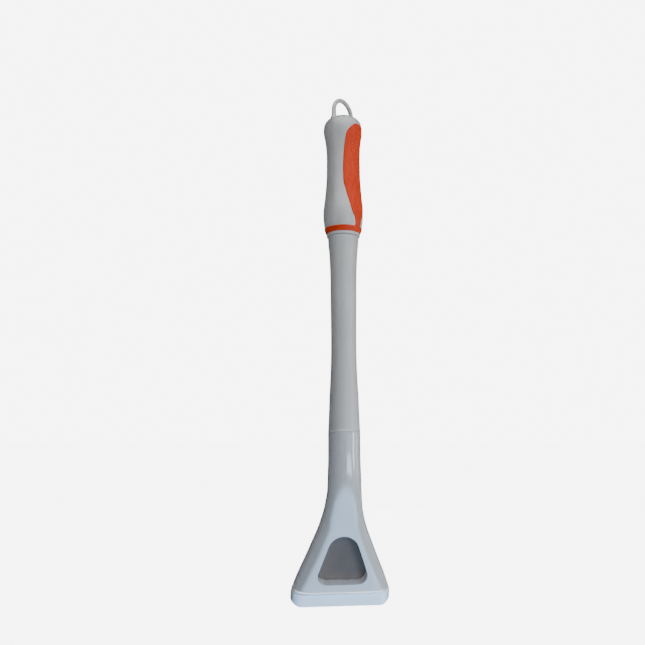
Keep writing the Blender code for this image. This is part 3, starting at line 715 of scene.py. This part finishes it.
# %% Handle tube
TUBE = [
    (283.7, 12.05), (278.0, 11.85), (272.0, 11.25), (265.0, 10.8), (256.0, 10.42), (244.0, 10.2),
    (230.0, 10.08), (216.0, 9.93), (205.0, 9.84), (190.0, 9.88), (180.0, 10.12), (172.0, 10.45),
    (160.0, 11.08), (148.0, 11.52), (140.0, 11.8), (132.4, 12.2),
]
TUBE_FOOT = 132.25
TUBE_EDGE = 0.4
FOOT_LIP = 0.14
tube_wall = [(smooth_value(TUBE, h), h) for h in heights(283.4, TUBE_FOOT + 1.3, 1.6)]
foot_r = smooth_value(TUBE, TUBE_FOOT)
tube_outline = (
    [(9.5, 283.7), (11.85, 283.7)] + tube_wall
    + [(foot_r + FOOT_LIP, TUBE_FOOT + 0.9), (foot_r + FOOT_LIP, TUBE_FOOT + TUBE_EDGE)]
    + [(foot_r - TUBE_EDGE, TUBE_FOOT), (10.6, TUBE_FOOT), (10.4, TUBE_FOOT + 0.2), (10.4, 147.5)]
    + [(7.8, 147.5), (7.8, 352.0), (1.9, 352.0), (1.9, 361.6), (8.9, 361.6), (9.5, 360.8)]
)
finished(
    "long_tube", turned(tube_outline), white_satin, "handle", ["handle_tube"],
)

# %% [markdown]
# ## Head
#
# The head leans back below the neck, so the blade meets the glass while the hand stays clear of the
# water's edge. Its cross-section changes from a circle to a flat face with soft shoulders. It could
# be a subdivision cage, but rings laid station by station follow a measured section more closely.
# Each ring is bridged to the next.

# %% The head's own axes
LEAN = math.radians(15.5)
LEAN_START = 114.0
LEAN_END = 68.0
FRONT_DEPTH = 7.2
BACK_DEPTH = 6.5


def lean_at(height):
    """How far the head leans at a height: nothing at the neck, then smoothly to its full lean."""
    share = min(max((LEAN_START - height) / (LEAN_START - LEAN_END), 0.0), 1.0)
    return LEAN * share * share * (3 - 2 * share)


def moved_back(height):
    """How far back the head's centreline has moved at a height, in millimetres."""
    low = min(height, LEAN_START)
    width = (LEAN_START - low) / 60
    return sum(math.tan(lean_at(low + (k + 0.5) * width)) * width for k in range(60))


FOOT_BACK = moved_back(0.0)


def on_head(across, up, back):
    """A point given across the head, up along its face and back from its middle plane."""
    y = FOOT_BACK - up * math.sin(LEAN) + back * math.cos(LEAN)
    z = up * math.cos(LEAN) + back * math.sin(LEAN)
    return Vector((across * MM, y * MM, level(z)))


HEAD_BACKWARD = Vector((0, math.cos(LEAN), math.sin(LEAN)))
HEAD_UPWARD = Vector((0, -math.sin(LEAN), math.cos(LEAN)))
print("the foot of the head is", round(FOOT_BACK, 1), "mm behind the handle's axis")

# %% The head's section
HALF_WIDTH = [
    (132.0, 12.2), (122.0, 12.2), (112.0, 12.25), (100.5, 12.7), (88.8, 13.25), (77.0, 14.5),
    (71.0, 15.7), (65.0, 17.3), (59.0, 19.35), (52.8, 21.9), (46.7, 24.4), (40.5, 27.0),
    (34.3, 29.7), (28.2, 32.4), (22.0, 34.9), (16.0, 37.0),
]
FLAT_HALF = [
    (132.0, 6.0), (112.0, 6.1), (100.5, 6.5), (88.8, 7.3), (77.0, 8.8), (65.0, 11.0),
    (59.0, 12.7), (47.0, 16.6), (28.0, 24.2), (16.0, 29.4),
]
FORM_HEIGHTS = (132.0, 116.0, 100.0, 88.0, 77.0, 68.0, 60.0)
FRONT = list(zip(FORM_HEIGHTS, (12.2, 12.2, 11.5, 10.1, 8.3, 7.2, 7.2)))
BACK = list(zip(FORM_HEIGHTS, (12.2, 12.2, 11.1, 9.2, 7.3, 6.5, 6.5)))
SQUARENESS = list(zip(FORM_HEIGHTS, (0.0, 0.0, 0.12, 0.45, 0.83, 1.0, 1.0)))
SHOULDER_DEPTH = 6.0
ROUND_REACH = (4.6, 3.4, 3.6)
ROUND_STEPS = 9
FACE_STEPS = 3


def section(width, flat, front, back, squareness):
    """The section's outline: flat front, soft shoulder, side and flat back, or nearer a circle."""
    shoulder = min(SHOULDER_DEPTH, 0.6 * (front + back))
    corners = [(flat, -front), (width, -front + shoulder), (width, back)]
    path = [Vector(p) for p in [(0.0, -front)] + corners + [(0.0, back)]]
    square = [path[0]]
    for k, reach in zip((1, 2, 3), ROUND_REACH):
        before, after = path[k - 1] - path[k], path[k + 1] - path[k]
        cut = min(reach, flat * 0.7, 0.48 * before.length, 0.48 * after.length)
        a, b = path[k] + before.normalized() * cut, path[k] + after.normalized() * cut
        for i in range(ROUND_STEPS):
            t = i / (ROUND_STEPS - 1)
            square.append(a * (1 - t) ** 2 + path[k] * 2 * t * (1 - t) + b * t * t)
    square.append(path[4])
    half = []
    for k, point in enumerate(square):
        angle = math.pi * k / (len(square) - 1)
        depth = (back - front) / 2 - (front + back) / 2 * math.cos(angle)
        half.append(Vector((width * math.sin(angle), depth)).lerp(point, squareness))
    return half + [Vector((-p.x, p.y)) for p in reversed(half[1:-1])]


def head_section(height):
    """The head's outline at a height, square to its centreline."""
    lean = lean_at(height)
    back = moved_back(height)
    shape = section(
        smooth_value(HALF_WIDTH, height), smooth_value(FLAT_HALF, height),
        smooth_value(FRONT, height), smooth_value(BACK, height),
        min(1.0, smooth_value(SQUARENESS, height)),
    )
    return [
        Vector((p.x * MM, (back + p.y * math.cos(lean)) * MM, level(height + p.y * math.sin(lean))))
        for p in shape
    ]


SECTION_POINTS = len(section(1, 0.5, 1, 1, 0))


def round_section(radius, height):
    """A circle with as many points as the head's section, for the spigot above the neck."""
    reach = radius * MM
    angles = [2 * math.pi * k / SECTION_POINTS for k in range(SECTION_POINTS)]
    return [Vector((reach * math.sin(a), -reach * math.cos(a), level(height))) for a in angles]


def skinned(rings):
    """A closed body through rings of points, each bridged to the next."""
    bm = bmesh.new()
    lines = []
    for ring in rings:
        corners = [bm.verts.new(p) for p in ring]
        edges = [bm.edges.new((corners[k - 1], corners[k])) for k in range(len(ring))]
        lines.append((corners, edges))
    for (_, above), (_, below) in zip(lines, lines[1:]):
        bmesh.ops.bridge_loops(bm, edges=above + below)
    bm.faces.new(lines[0][0])
    bm.faces.new(lines[-1][0])
    return bm


print("each section has", SECTION_POINTS, "points")

# %% [markdown]
# The flat parts of the head are cut and drilled next. A flat outline with rounded corners is pushed
# through the head as a cutter, and the same outline, a little smaller, later makes the part that
# fits in the hole. The window's rim is then bevelled, because a moulded edge is never sharp.

# %% Outlines on the head's face
def rounded_outline(corners, radii, grow=0.0, steps=10):
    """A polygon with arcs for corners, moved outwards by grow."""
    points = []
    count = len(corners)
    for k, radius in enumerate(radii):
        here = Vector(corners[k])
        before = (Vector(corners[k - 1]) - here).normalized()
        after = (Vector(corners[(k + 1) % count]) - here).normalized()
        half = before.angle(after) / 2
        inward = (before + after).normalized()
        centre = here + inward * radius / math.sin(half)
        start = math.atan2(*(here + before * radius / math.tan(half) - centre).yx)
        end = math.atan2(*(here + after * radius / math.tan(half) - centre).yx)
        sweep = (end - start + math.pi) % (2 * math.pi) - math.pi
        for i in range(steps + 1):
            angle = start + sweep * i / steps
            points.append(centre + Vector((math.cos(angle), math.sin(angle))) * (radius + grow))
    return points


WINDOW_CORNERS = [(21.7, 22.1), (0.0, 84.2), (-21.7, 22.1)]
WINDOW_RADII = [7.0, 12.0, 7.0]
COVER_CORNERS = [(32.2, 21.6), (13.2, 69.2), (-13.2, 69.2), (-32.2, 21.6)]
COVER_RADII = [6.0, 6.0, 6.0, 6.0]
window = rounded_outline(WINDOW_CORNERS, WINDOW_RADII)
seat = rounded_outline(COVER_CORNERS, COVER_RADII)
print("the window is", round(2 * max(p.x for p in window), 1), "mm wide")


# %% Plates, blocks and rods on the head
def face_plate(points, front, back):
    """An outline on the head's face given a thickness: one face, extruded."""
    bm = bmesh.new()
    face = bm.faces.new([bm.verts.new(on_head(p[0], p[1], front)) for p in points])
    made = bmesh.ops.extrude_face_region(bm, geom=[face])["geom"]
    bmesh.ops.translate(bm, vec=HEAD_BACKWARD * (back - front) * MM, verts=points_of(made))
    return bm


def face_block(half, low, high, front, back, soften=0.0):
    """A block on the head's own axes with softened edges."""
    bm = bmesh.new()
    bmesh.ops.create_cube(bm, size=2.0)
    for point in bm.verts:
        x, up, deep = point.co
        middle, reach = (low + high) / 2, (high - low) / 2
        point.co = (half * x, middle + reach * up, (front + back) / 2 + (back - front) / 2 * deep)
    if soften:
        bmesh.ops.bevel(
            bm, geom=bm.edges[:], offset=soften, segments=3, profile=0.5, affect="EDGES",
            material=-1,
        )
    for point in bm.verts:
        point.co = on_head(*point.co)
    return bm


def face_rod(across, up, radius, front, back, steps=32):
    """A round rod through the head, square to its face."""
    angles = [2 * math.pi * k / steps for k in range(steps)]
    return face_plate(
        [(across + radius * math.cos(a), up + radius * math.sin(a)) for a in angles], front, back,
    )


print("a point on the head", [round(v, 4) for v in on_head(10, 40, -FRONT_DEPTH)])


# %% Finding, rounding and joining on the head
def depth_on_head(point):
    """How far back from the head's middle plane a point lies, in millimetres."""
    return (point - on_head(0, 0, 0)).dot(HEAD_BACKWARD) / MM


def soften_edges(bm, chosen, offset, segments=4):
    """Bevels the chosen edges by an offset in millimetres."""
    bmesh.ops.bevel(
        bm, geom=chosen, offset=offset * MM, segments=segments, profile=0.5, affect="EDGES",
        clamp_overlap=True, material=-1,
    )


def rim_edges(bm, depth, limit=60, above=19.0):
    """Edges that lie at one depth of the head and turn by more than a limit in degrees."""
    return [
        e for e in bm.edges
        if len(e.link_faces) == 2 and e.calc_face_angle(0) > math.radians(limit)
        and all(abs(depth_on_head(v.co) - depth) < 0.01 for v in e.verts)
        and all((v.co - on_head(0, above, 0)).dot(HEAD_UPWARD) > 0 for v in e.verts)
    ]


def join_flat_faces(bm, depth, facing):
    """Makes one face of all that lie flat at a depth, so a cut through them stays clean."""
    flat = [
        f for f in bm.faces
        if f.normal.dot(HEAD_BACKWARD) * facing > 0.99995
        and abs(depth_on_head(f.calc_center_median()) - depth) < 0.02
        and f.calc_center_median().z < level(61)
    ]
    bmesh.ops.dissolve_faces(bm, faces=flat, use_verts=False)


def flat_faces_lead(piece):
    """Weighs normals by face area, so big flat faces stay flat beside their small rounds."""
    weighing = piece.modifiers.new("flat faces lead", "WEIGHTED_NORMAL")
    weighing.keep_sharp = True


print("the face lies", round(-depth_on_head(on_head(0, 40, -FRONT_DEPTH)), 1), "mm forward")

# %% Head shell
HEAD_TOP = 132.235
HEAD_END = 16.82
COVER_SEAT = 4.0
SPIGOT_RINGS = [
    (5.5, 141.0), (5.5, 147.7), (5.8, 148.0), (7.6, 148.0), (8.05, 147.5), (8.05, 132.3),
    (8.3, 132.1), (8.3, 130.05), (10.6, 130.05), (10.6, 132.0), (10.75, 132.235), (12.1, 132.235),
    (12.16, 132.2),
]

rings = [round_section(r, h) for r, h in SPIGOT_RINGS]
head_stations = [HEAD_TOP - 0.14] + heights(131.0, HEAD_END * math.cos(LEAN), 2.0)
rings += [head_section(h) for h in head_stations]
shell = skinned(rings)
bmesh.ops.recalc_face_normals(shell, faces=shell.faces)
join_flat_faces(shell, -FRONT_DEPTH, -1)
join_flat_faces(shell, BACK_DEPTH, 1)
shell = cut(shell, face_plate(window, -20, COVER_SEAT + 4))
shell = cut(shell, face_plate(seat, COVER_SEAT, 14))
soften_edges(shell, rim_edges(shell, -FRONT_DEPTH), 1.1, 5)
soften_edges(shell, rim_edges(shell, BACK_DEPTH), 0.35, 2)
shell = combined(shell, face_block(26.0, 7.7, 17.7, -2.9, 0.6, 0.3), "UNION")
flat_faces_lead(
    # The shell's white carries a faint painted blue tint, standing in for cool light from below.
    finished("head_shell", shell, head_painted_cool_white, "head", ["head_front"], sharp=38),
)

# %% [markdown]
# The head screws into the handle. Spin can climb as it turns, so a small ridge section spun about
# the spigot with a rise on each step becomes a true screw thread.

# %% Threads
THREAD_RISE = 4.0
THREAD_STEPS = 48


def thread_ridge(root, crest, low, turns, start):
    """A closed helical ridge from a root radius to a crest radius, in millimetres."""
    bm = bmesh.new()
    inner = root - 0.3 if crest > root else root + 0.3
    form = [(inner, -0.85), (root, -0.8), (crest, -0.4), (crest, 0.4), (root, 0.8), (inner, 0.85)]
    corners = [bm.verts.new((r * MM, 0, level(low + h))) for r, h in form]
    bmesh.ops.rotate(
        bm, verts=corners, cent=(0, 0, 0), matrix=Matrix.Rotation(start, 3, "Z"),
    )
    first = bm.faces.new(corners)
    last = bmesh.ops.spin(
        bm, geom=first.edges[:], axis=(0, 0, 1), cent=(0, 0, 0), angle=2 * math.pi * turns,
        steps=round(THREAD_STEPS * turns), dvec=(0, 0, THREAD_RISE * MM / THREAD_STEPS),
    )["geom_last"]
    bmesh.ops.contextual_create(bm, geom=edges_of(last))
    return bm


def helix_start(low, phase):
    """The angle at which a ridge centred at a height starts, so both threads share one helix."""
    return 2 * math.pi * ((low / THREAD_RISE) - phase)


finished(
    "spigot_thread", thread_ridge(8.0, 8.95, 135.0, 2.75, helix_start(135.0, 0.5)), head_painted_cool_white,
    "head", ["head_front"],
)
bush = turned([(9.35, 133.2), (9.6, 133.0), (10.15, 133.0), (10.15, 147.2), (9.35, 147.2)], 96)
finished("threaded_bush", bush, grey_matt, "handle", ["thread_bush"])
finished(
    "bush_thread", thread_ridge(9.4, 8.45, 134.4, 2.9, helix_start(134.4, 0.0)), grey_matt,
    "handle", ["thread_bush"],
)
seal = turned(rounded_corner((9.4, 131.15), 0.9, 0, 345, 23), 96)
finished("seal_ring_rubber", seal, black_rubber, "seal", ["seal_ring"])

# %% [markdown]
# ## Rear cover
#
# A dark cover closes the back of the head, and its raised pad is what is seen through the window;
# its dark tone is painted shade, standing in for the shade inside the window's hollow.
# Plate and pad are two outlines with a thickness, joined by a boolean. Four sunk screws hold it.

# %% Rear cover
COVER_GAP = 0.14
PAD_FACE = 1.3
SHANK_HOLE, HEAD_HOLE = 1.7, 3.0
HOLE_END = 12
SCREW_PLACES = [(25.5, 28.3), (-25.5, 28.3), (10.2, 63.4), (-10.2, 63.4)]


def sunk_hole(bm, place, seat):
    """A hole for a screw's shank, and a wider one for its head down to its seat."""
    bm = cut(bm, face_rod(*place, SHANK_HOLE, 0, HOLE_END))
    return cut(bm, face_rod(*place, HEAD_HOLE, seat, HOLE_END))


cover = face_plate(rounded_outline(COVER_CORNERS, COVER_RADII, -COVER_GAP), 4.3, BACK_DEPTH)
bmesh.ops.recalc_face_normals(cover, faces=cover.faces)
soften_edges(cover, rim_edges(cover, BACK_DEPTH), 0.4, 3)
pad = face_plate(rounded_outline(WINDOW_CORNERS, WINDOW_RADII, -0.2), PAD_FACE, 5.0)
bmesh.ops.recalc_face_normals(pad, faces=pad.faces)
soften_edges(pad, rim_edges(pad, PAD_FACE), 0.5, 3)
cover = combined(cover, pad, "UNION")
for place in SCREW_PLACES:
    cover = sunk_hole(cover, place, BACK_DEPTH - 1.35)
flat_faces_lead(
    finished("rear_cover_plate", cover, painted_shade_dark, "head", ["rear_cover"], 35),
)

# %% [markdown]
# ## Screws
#
# Every screw is one pan head and shank turned on its own axis, with a cross pressed into the head,
# and is then moved to its place. One function makes all of them.

# %% A screw with a cross
CROSS_ARM = 0.56
CROSS_WEB = 0.12


def cross_screw(shank, head, head_low, head_high, tip):
    """A screw along +Z in millimetres, its head's underside at head_low."""
    deep = head_high - head_low
    outline = [
        (0.0, tip), (shank * 0.35, tip + 0.2), (shank, tip + 1.3), (shank, head_low - 0.1),
        (shank + 0.1, head_low), (head - 0.15, head_low), (head, head_low + 0.15),
        (head, head_low + 0.45 * deep),
    ]
    outline += [
        (head * math.cos(a) ** 0.5, head_low + deep * (0.45 + 0.55 * math.sin(a)))
        for a in (math.radians(15 * k) for k in range(1, 6))
    ]
    bm = bmesh.new()
    corners = [bm.verts.new((r, 0, z)) for r, z in outline + [(0.0, head_high)]]
    edges = [bm.edges.new(pair) for pair in zip(corners, corners[1:])]
    bmesh.ops.spin(
        bm, geom=corners + edges, axis=(0, 0, 1), cent=(0, 0, 0), angle=2 * math.pi, steps=40,
        use_merge=True,
    )
    bmesh.ops.remove_doubles(bm, verts=bm.verts, dist=1e-4)
    arm, web = head * CROSS_ARM, head * CROSS_WEB
    cross = bmesh.new()
    quarter = [(arm, web), (web, web), (web, arm)]
    turns = [Matrix.Rotation(math.pi / 2 * k, 2) for k in range(4)]
    points = [t @ Vector(p) for t in turns for p in quarter]
    floor = cross.faces.new([cross.verts.new((p.x, p.y, head_high - deep * 0.6)) for p in points])
    top = bmesh.ops.extrude_face_region(cross, geom=[floor])["geom"]
    bmesh.ops.translate(cross, vec=(0, 0, deep), verts=points_of(top))
    bmesh.ops.scale(bm, vec=(MM, MM, MM), verts=bm.verts)
    bmesh.ops.scale(cross, vec=(MM, MM, MM), verts=cross.verts)
    return cut(bm, cross)


print("the arms of a 2.7 mm screw head's cross are", round(2.7 * CROSS_ARM, 2), "mm long")


# %% Cover screws
def head_screw(name, node, place, span, turn):
    """A screw pointing out of the head's back; span holds head_low, head_high and tip."""
    made = cross_screw(1.4, 2.7, *span)
    spin_back = Matrix.Rotation(-(math.pi / 2 - LEAN), 4, "X")
    place = Matrix.Translation(on_head(*place, 0)) @ spin_back @ Matrix.Rotation(turn, 4, "Z")
    bmesh.ops.transform(made, matrix=place, verts=made.verts)
    finished(name, made, screw_steel, "head", [node], 35)


span = (BACK_DEPTH - 1.2, BACK_DEPTH - 0.08, -3.5)
for k, place in enumerate(SCREW_PLACES, 1):
    head_screw(f"cover_screw_head_{k}", f"cover_screw_{k}", place, span, 0.7 * k)

# %% [markdown]
# ## Blade, clamp and tongue
#
# Under the guard a thin steel blade lies on the head's tongue, held by a clamp bar with a grooved
# back and two screws. The blade is its side profile, with the ground edge drawn in it, pushed
# across the head in one extrusion.

# %% Blade and clamp
CLAMP_SCREW_PLACES = [(15.0, 12.3), (-15.0, 12.3)]
BLADE_FRONT, BLADE_BACK = 0.9, 1.7
BLADE_LOW, BLADE_HIGH = 6.5, 16.3
BLADE_HALF = 30.0
GROUND_LENGTH = 1.4
GROOVE_STEP = 5.0

blade = bmesh.new()
profile = [
    (BLADE_LOW + GROUND_LENGTH, BLADE_FRONT), (BLADE_HIGH, BLADE_FRONT), (BLADE_HIGH, BLADE_BACK),
    (BLADE_LOW, BLADE_BACK), (BLADE_LOW, BLADE_BACK - 0.08),
]
side = blade.faces.new([blade.verts.new(on_head(-BLADE_HALF, up, deep)) for up, deep in profile])
made = bmesh.ops.extrude_face_region(blade, geom=[side])["geom"]
bmesh.ops.translate(blade, vec=(2 * BLADE_HALF * MM, 0, 0), verts=points_of(made))
clamp = face_block(26.5, 8.3, 16.1, 2.0, 3.9, 0.35)
for place in CLAMP_SCREW_PLACES:
    blade = cut(blade, face_rod(*place, SHANK_HOLE, -2, 4))
    clamp = sunk_hole(clamp, place, 2.7)
for k in (-1, 0, 1):
    groove = face_block(3.0, 11.9, 12.6, 3.6, 5.0)
    bmesh.ops.translate(groove, vec=(k * GROOVE_STEP * MM, 0, 0), verts=groove.verts)
    clamp = cut(clamp, groove)
finished("steel_blade", blade, blade_steel, "head", ["blade"], 20)
finished("clamp_bar", clamp, grey_matt, "head", ["blade_clamp"], 35)
for k, place in enumerate(CLAMP_SCREW_PLACES, 1):
    head_screw(f"clamp_screw_head_{k}", f"clamp_screw_{k}", place, (2.85, 3.82, -2.0), 0.5 + k)

# %% Screw and washer inside the grip
made = cross_screw(1.6, 3.3, 367.2, 369.6, 353.5)
bmesh.ops.translate(made, vec=(0, 0, level(0.0)), verts=made.verts)
finished("grip_tie_screw", made, screw_steel, "handle", ["grip_screw"], 35)
washer = turned([
    (1.9, 366.2), (4.25, 366.2), (4.4, 366.35), (4.4, 366.85), (4.25, 367.0), (1.9, 367.0),
], 64)
finished("grip_tie_washer", washer, screw_steel, "handle", ["grip_washer"], 35)

# %% [markdown]
# ## Blade guard
#
# The guard is the lower lip of the head. Two fine ridges run along its upper edge and catch the
# light, then its face turns down, and its lower corners are rounded. It is skinned from sections
# like the head, and the pocket that slips over the blade is cut from above.

# %% Blade guard
GUARD_TOP = 16.8
GUARD_FOOT = 3.72
CORNER_R = 4.4
LIP_R = 1.7
RIDGES = [
    (16.8, 0.15), (16.6, 0.45), (16.3, 0.72), (15.9, 0.8), (15.5, 0.6), (15.2, 0.2),
    (14.95, 0.3), (14.6, 0.45), (14.2, 0.4), (13.7, 0.15), (13.0, 0.0),
]


def rounding(height, radius):
    """How far a quarter round of a radius pulls in at a height above its foot."""
    if height >= radius:
        return 0.0
    return radius - math.sqrt(radius**2 - (radius - height) ** 2)


def guard_section(up, shrink=0.0):
    """The guard's outline at a place up the head's face."""
    t = up - GUARD_FOOT
    face = 5.45 + 0.155 * t + smooth_value(RIDGES, up)
    width = 37.95 - 0.024 * max(0.0, t - 7.0) ** 2 - rounding(t, CORNER_R)
    flat = 33.4 - 0.26 * t - 0.3 * rounding(t, CORNER_R)
    shape = section(
        width - shrink, flat - shrink, face - rounding(t, LIP_R) - shrink,
        BACK_DEPTH - 0.7 * rounding(t, LIP_R) - shrink, 1.0,
    )
    return [on_head(p.x, up, p.y) for p in shape]


stations = heights(GUARD_TOP - 0.1, RIDGES[-1][0], 0.14)
stations += heights(RIDGES[-1][0] - 0.8, GUARD_FOOT + 2.2, 0.8)
stations += [GUARD_FOOT + rise for rise in (1.7, 1.25, 0.85, 0.5, 0.25, 0.08, 0.0)]
guard = skinned([guard_section(GUARD_TOP, 0.3)] + [guard_section(up) for up in stations])
guard = cut(guard, face_block(31.3, 5.5, 24.0, -3.3, 4.3, 0.8))
# Its lighter, bluer finish is partly painted cool light from below.
finished("slip_on_guard", guard, guard_painted_light, "guard", ["blade_guard"], sharp=40)

# %% [markdown]
# ## Floor and background
#
# The camera sees a near-white backdrop and a glowing floor, while the tool gets only a weak even
# light from them, so the Light Path node picks what each kind of ray meets. Polished plastic also
# needs something to mirror. A cool glow on the floor in front of the head and a bright patch of
# sky above the camera are shown only to glossy rays: they colour the down-turned face of the head
# and light the fine ridges of the guard, and leave the matt parts alone.

# %% World
BACKDROP = 7.0
COOL_FLOOR = 0.03
CARD_GLOW = 6.8
OVERHEAD_GLOW = 7.0
WEAK_SKY = 0.09
FLOOR_GLOW = 0.94 * BACKDROP
FLOOR_Z = cad_low.z - 0.045
CARD_PLACE = (0.02, -0.08, FLOOR_Z)
COOL_TINT = (0.38, 0.65, 1.0, 1.0)


def seen_by_camera(tree, seen, lit):
    """One shader for what the camera sees directly, another for the light it gives."""
    path = add(tree, "ShaderNodeLightPath")
    return add(
        tree, "ShaderNodeMixShader", None, {0: path.outputs["Is Camera Ray"], 1: lit, 2: seen},
    ).outputs[0]


def mirrored_strength(tree, weak, glow):
    """A weak strength for all rays, with a glow added for glossy ones."""
    path = add(tree, "ShaderNodeLightPath")
    return maths(tree, "MULTIPLY_ADD", path.outputs["Is Glossy Ray"], glow, weak)


world = bpy.data.worlds.new("studio")
bpy.context.scene.world = world
world.use_nodes = True
tree = world.node_tree
place = add(tree, "ShaderNodeTexCoord")
facing = add(
    tree, "ShaderNodeVectorMath", {1: (0.0, -0.5, 0.87)}, {0: place.outputs["Generated"]},
    operation="DOT_PRODUCT",
)
overhead = ranged(tree, facing.outputs["Value"], 0.65, 0.82, 0.0, OVERHEAD_GLOW)
sky = tree.nodes["Background"]
sky.inputs["Color"].default_value = (0.93, 0.96, 1.0, 1.0)
tree.links.new(mirrored_strength(tree, WEAK_SKY, overhead), sky.inputs["Strength"])
backdrop = add(tree, "ShaderNodeBackground", {"Color": (1.0, 1.0, 1.0, 1.0), "Strength": BACKDROP})
tree.links.new(
    seen_by_camera(tree, backdrop.outputs[0], sky.outputs[0]),
    tree.nodes["World Output"].inputs["Surface"],
)
print("backdrop strength", BACKDROP)

# %% Floor
floor_shape = bmesh.new()
bmesh.ops.create_grid(floor_shape, x_segments=2, y_segments=2, size=12.0)
bmesh.ops.translate(floor_shape, vec=(0, 0, FLOOR_Z), verts=floor_shape.verts)
floor = as_object("floor", floor_shape)
print("floor at", round(FLOOR_Z, 3))

# %% Floor finish
pale_floor, tree, matt = new_material("pale_floor", {
    "Base Color": (0.3, 0.3, 0.3, 1.0), "Roughness": 0.9, "Specular IOR Level": 0.1,
})
glow = add(tree, "ShaderNodeEmission", {"Strength": FLOOR_GLOW})
place = add(tree, "ShaderNodeTexCoord")
spot = add(
    tree, "ShaderNodeMapping", {"Location": CARD_PLACE}, {"Vector": place.outputs["Object"]},
    vector_type="TEXTURE",
)
away = add(tree, "ShaderNodeVectorMath", None, {0: spot.outputs["Vector"]}, operation="LENGTH")
card = ranged(tree, away.outputs["Value"], 0.12, 0.22, CARD_GLOW, 0.0)
cool = add(
    tree, "ShaderNodeEmission", {"Color": COOL_TINT},
    {"Strength": mirrored_strength(tree, COOL_FLOOR, card)},
)
table = seen_by_camera(tree, glow.outputs[0], cool.outputs[0])
lifted = add(tree, "ShaderNodeAddShader", None, {0: matt.outputs[0], 1: table})
tree.links.new(lifted.outputs[0], tree.nodes["Material Output"].inputs["Surface"])
floor.data.materials.append(pale_floor)
print("pale_floor", len(tree.nodes), "nodes")

# %% [markdown]
# ## Lights
#
# One broad light from the right gives the round handle its fall from bright to grey, and a narrow
# strip beside it draws the thin line down the shoulder of the neck. The front light and a small
# cool card near the floor fill the face of the head. A weak light opens the grip's shaded side,
# one above keeps the loop clear of the backdrop, and one behind shows the rear cover.


# %% Lights
def soft_light(name, place, aim, size, watts, tint=(1.0, 1.0, 1.0)):
    """A rectangular area light at a place, turned to face a point."""
    data = bpy.data.lights.new(name, "AREA")
    data.shape = "RECTANGLE"
    data.size, data.size_y = size
    data.energy = watts
    data.color = tint
    light = bpy.data.objects.new(name, data)
    bpy.context.scene.collection.objects.link(light)
    light.location = place
    light.rotation_mode = "QUATERNION"
    light.rotation_quaternion = (Vector(aim) - Vector(place)).to_track_quat("-Z", "Y")
    light.visible_camera = False
    return light


MIDDLE = (0.0, 0.0, -0.2)
soft_light("key", (1.05, -0.6, -0.1), MIDDLE, (0.3, 0.8), 6.6, (1.0, 0.985, 0.95))
soft_light("edge", (1.0, 0.0, -0.2), MIDDLE, (0.05, 0.5), 0.9)
soft_light(
    "low_card", (0.16, -0.34, -0.345), (0.0, 0.03, -0.36), (0.2, 0.08), 0.55, (0.6, 0.78, 1.0),
)
soft_light("front", (0.45, -1.05, 0.1), MIDDLE, (0.25, 0.6), 2.6)
soft_light("left_fill", (-0.4, -0.3, 0.05), (0.0, 0.0, -0.08), (0.2, 0.4), 0.65)
soft_light("top", (0.1, -0.3, 1.2), MIDDLE, (0.9, 0.9), 2.4)
soft_light("behind", (0.2, 1.1, 0.05), MIDDLE, (0.5, 0.8), 4.0)
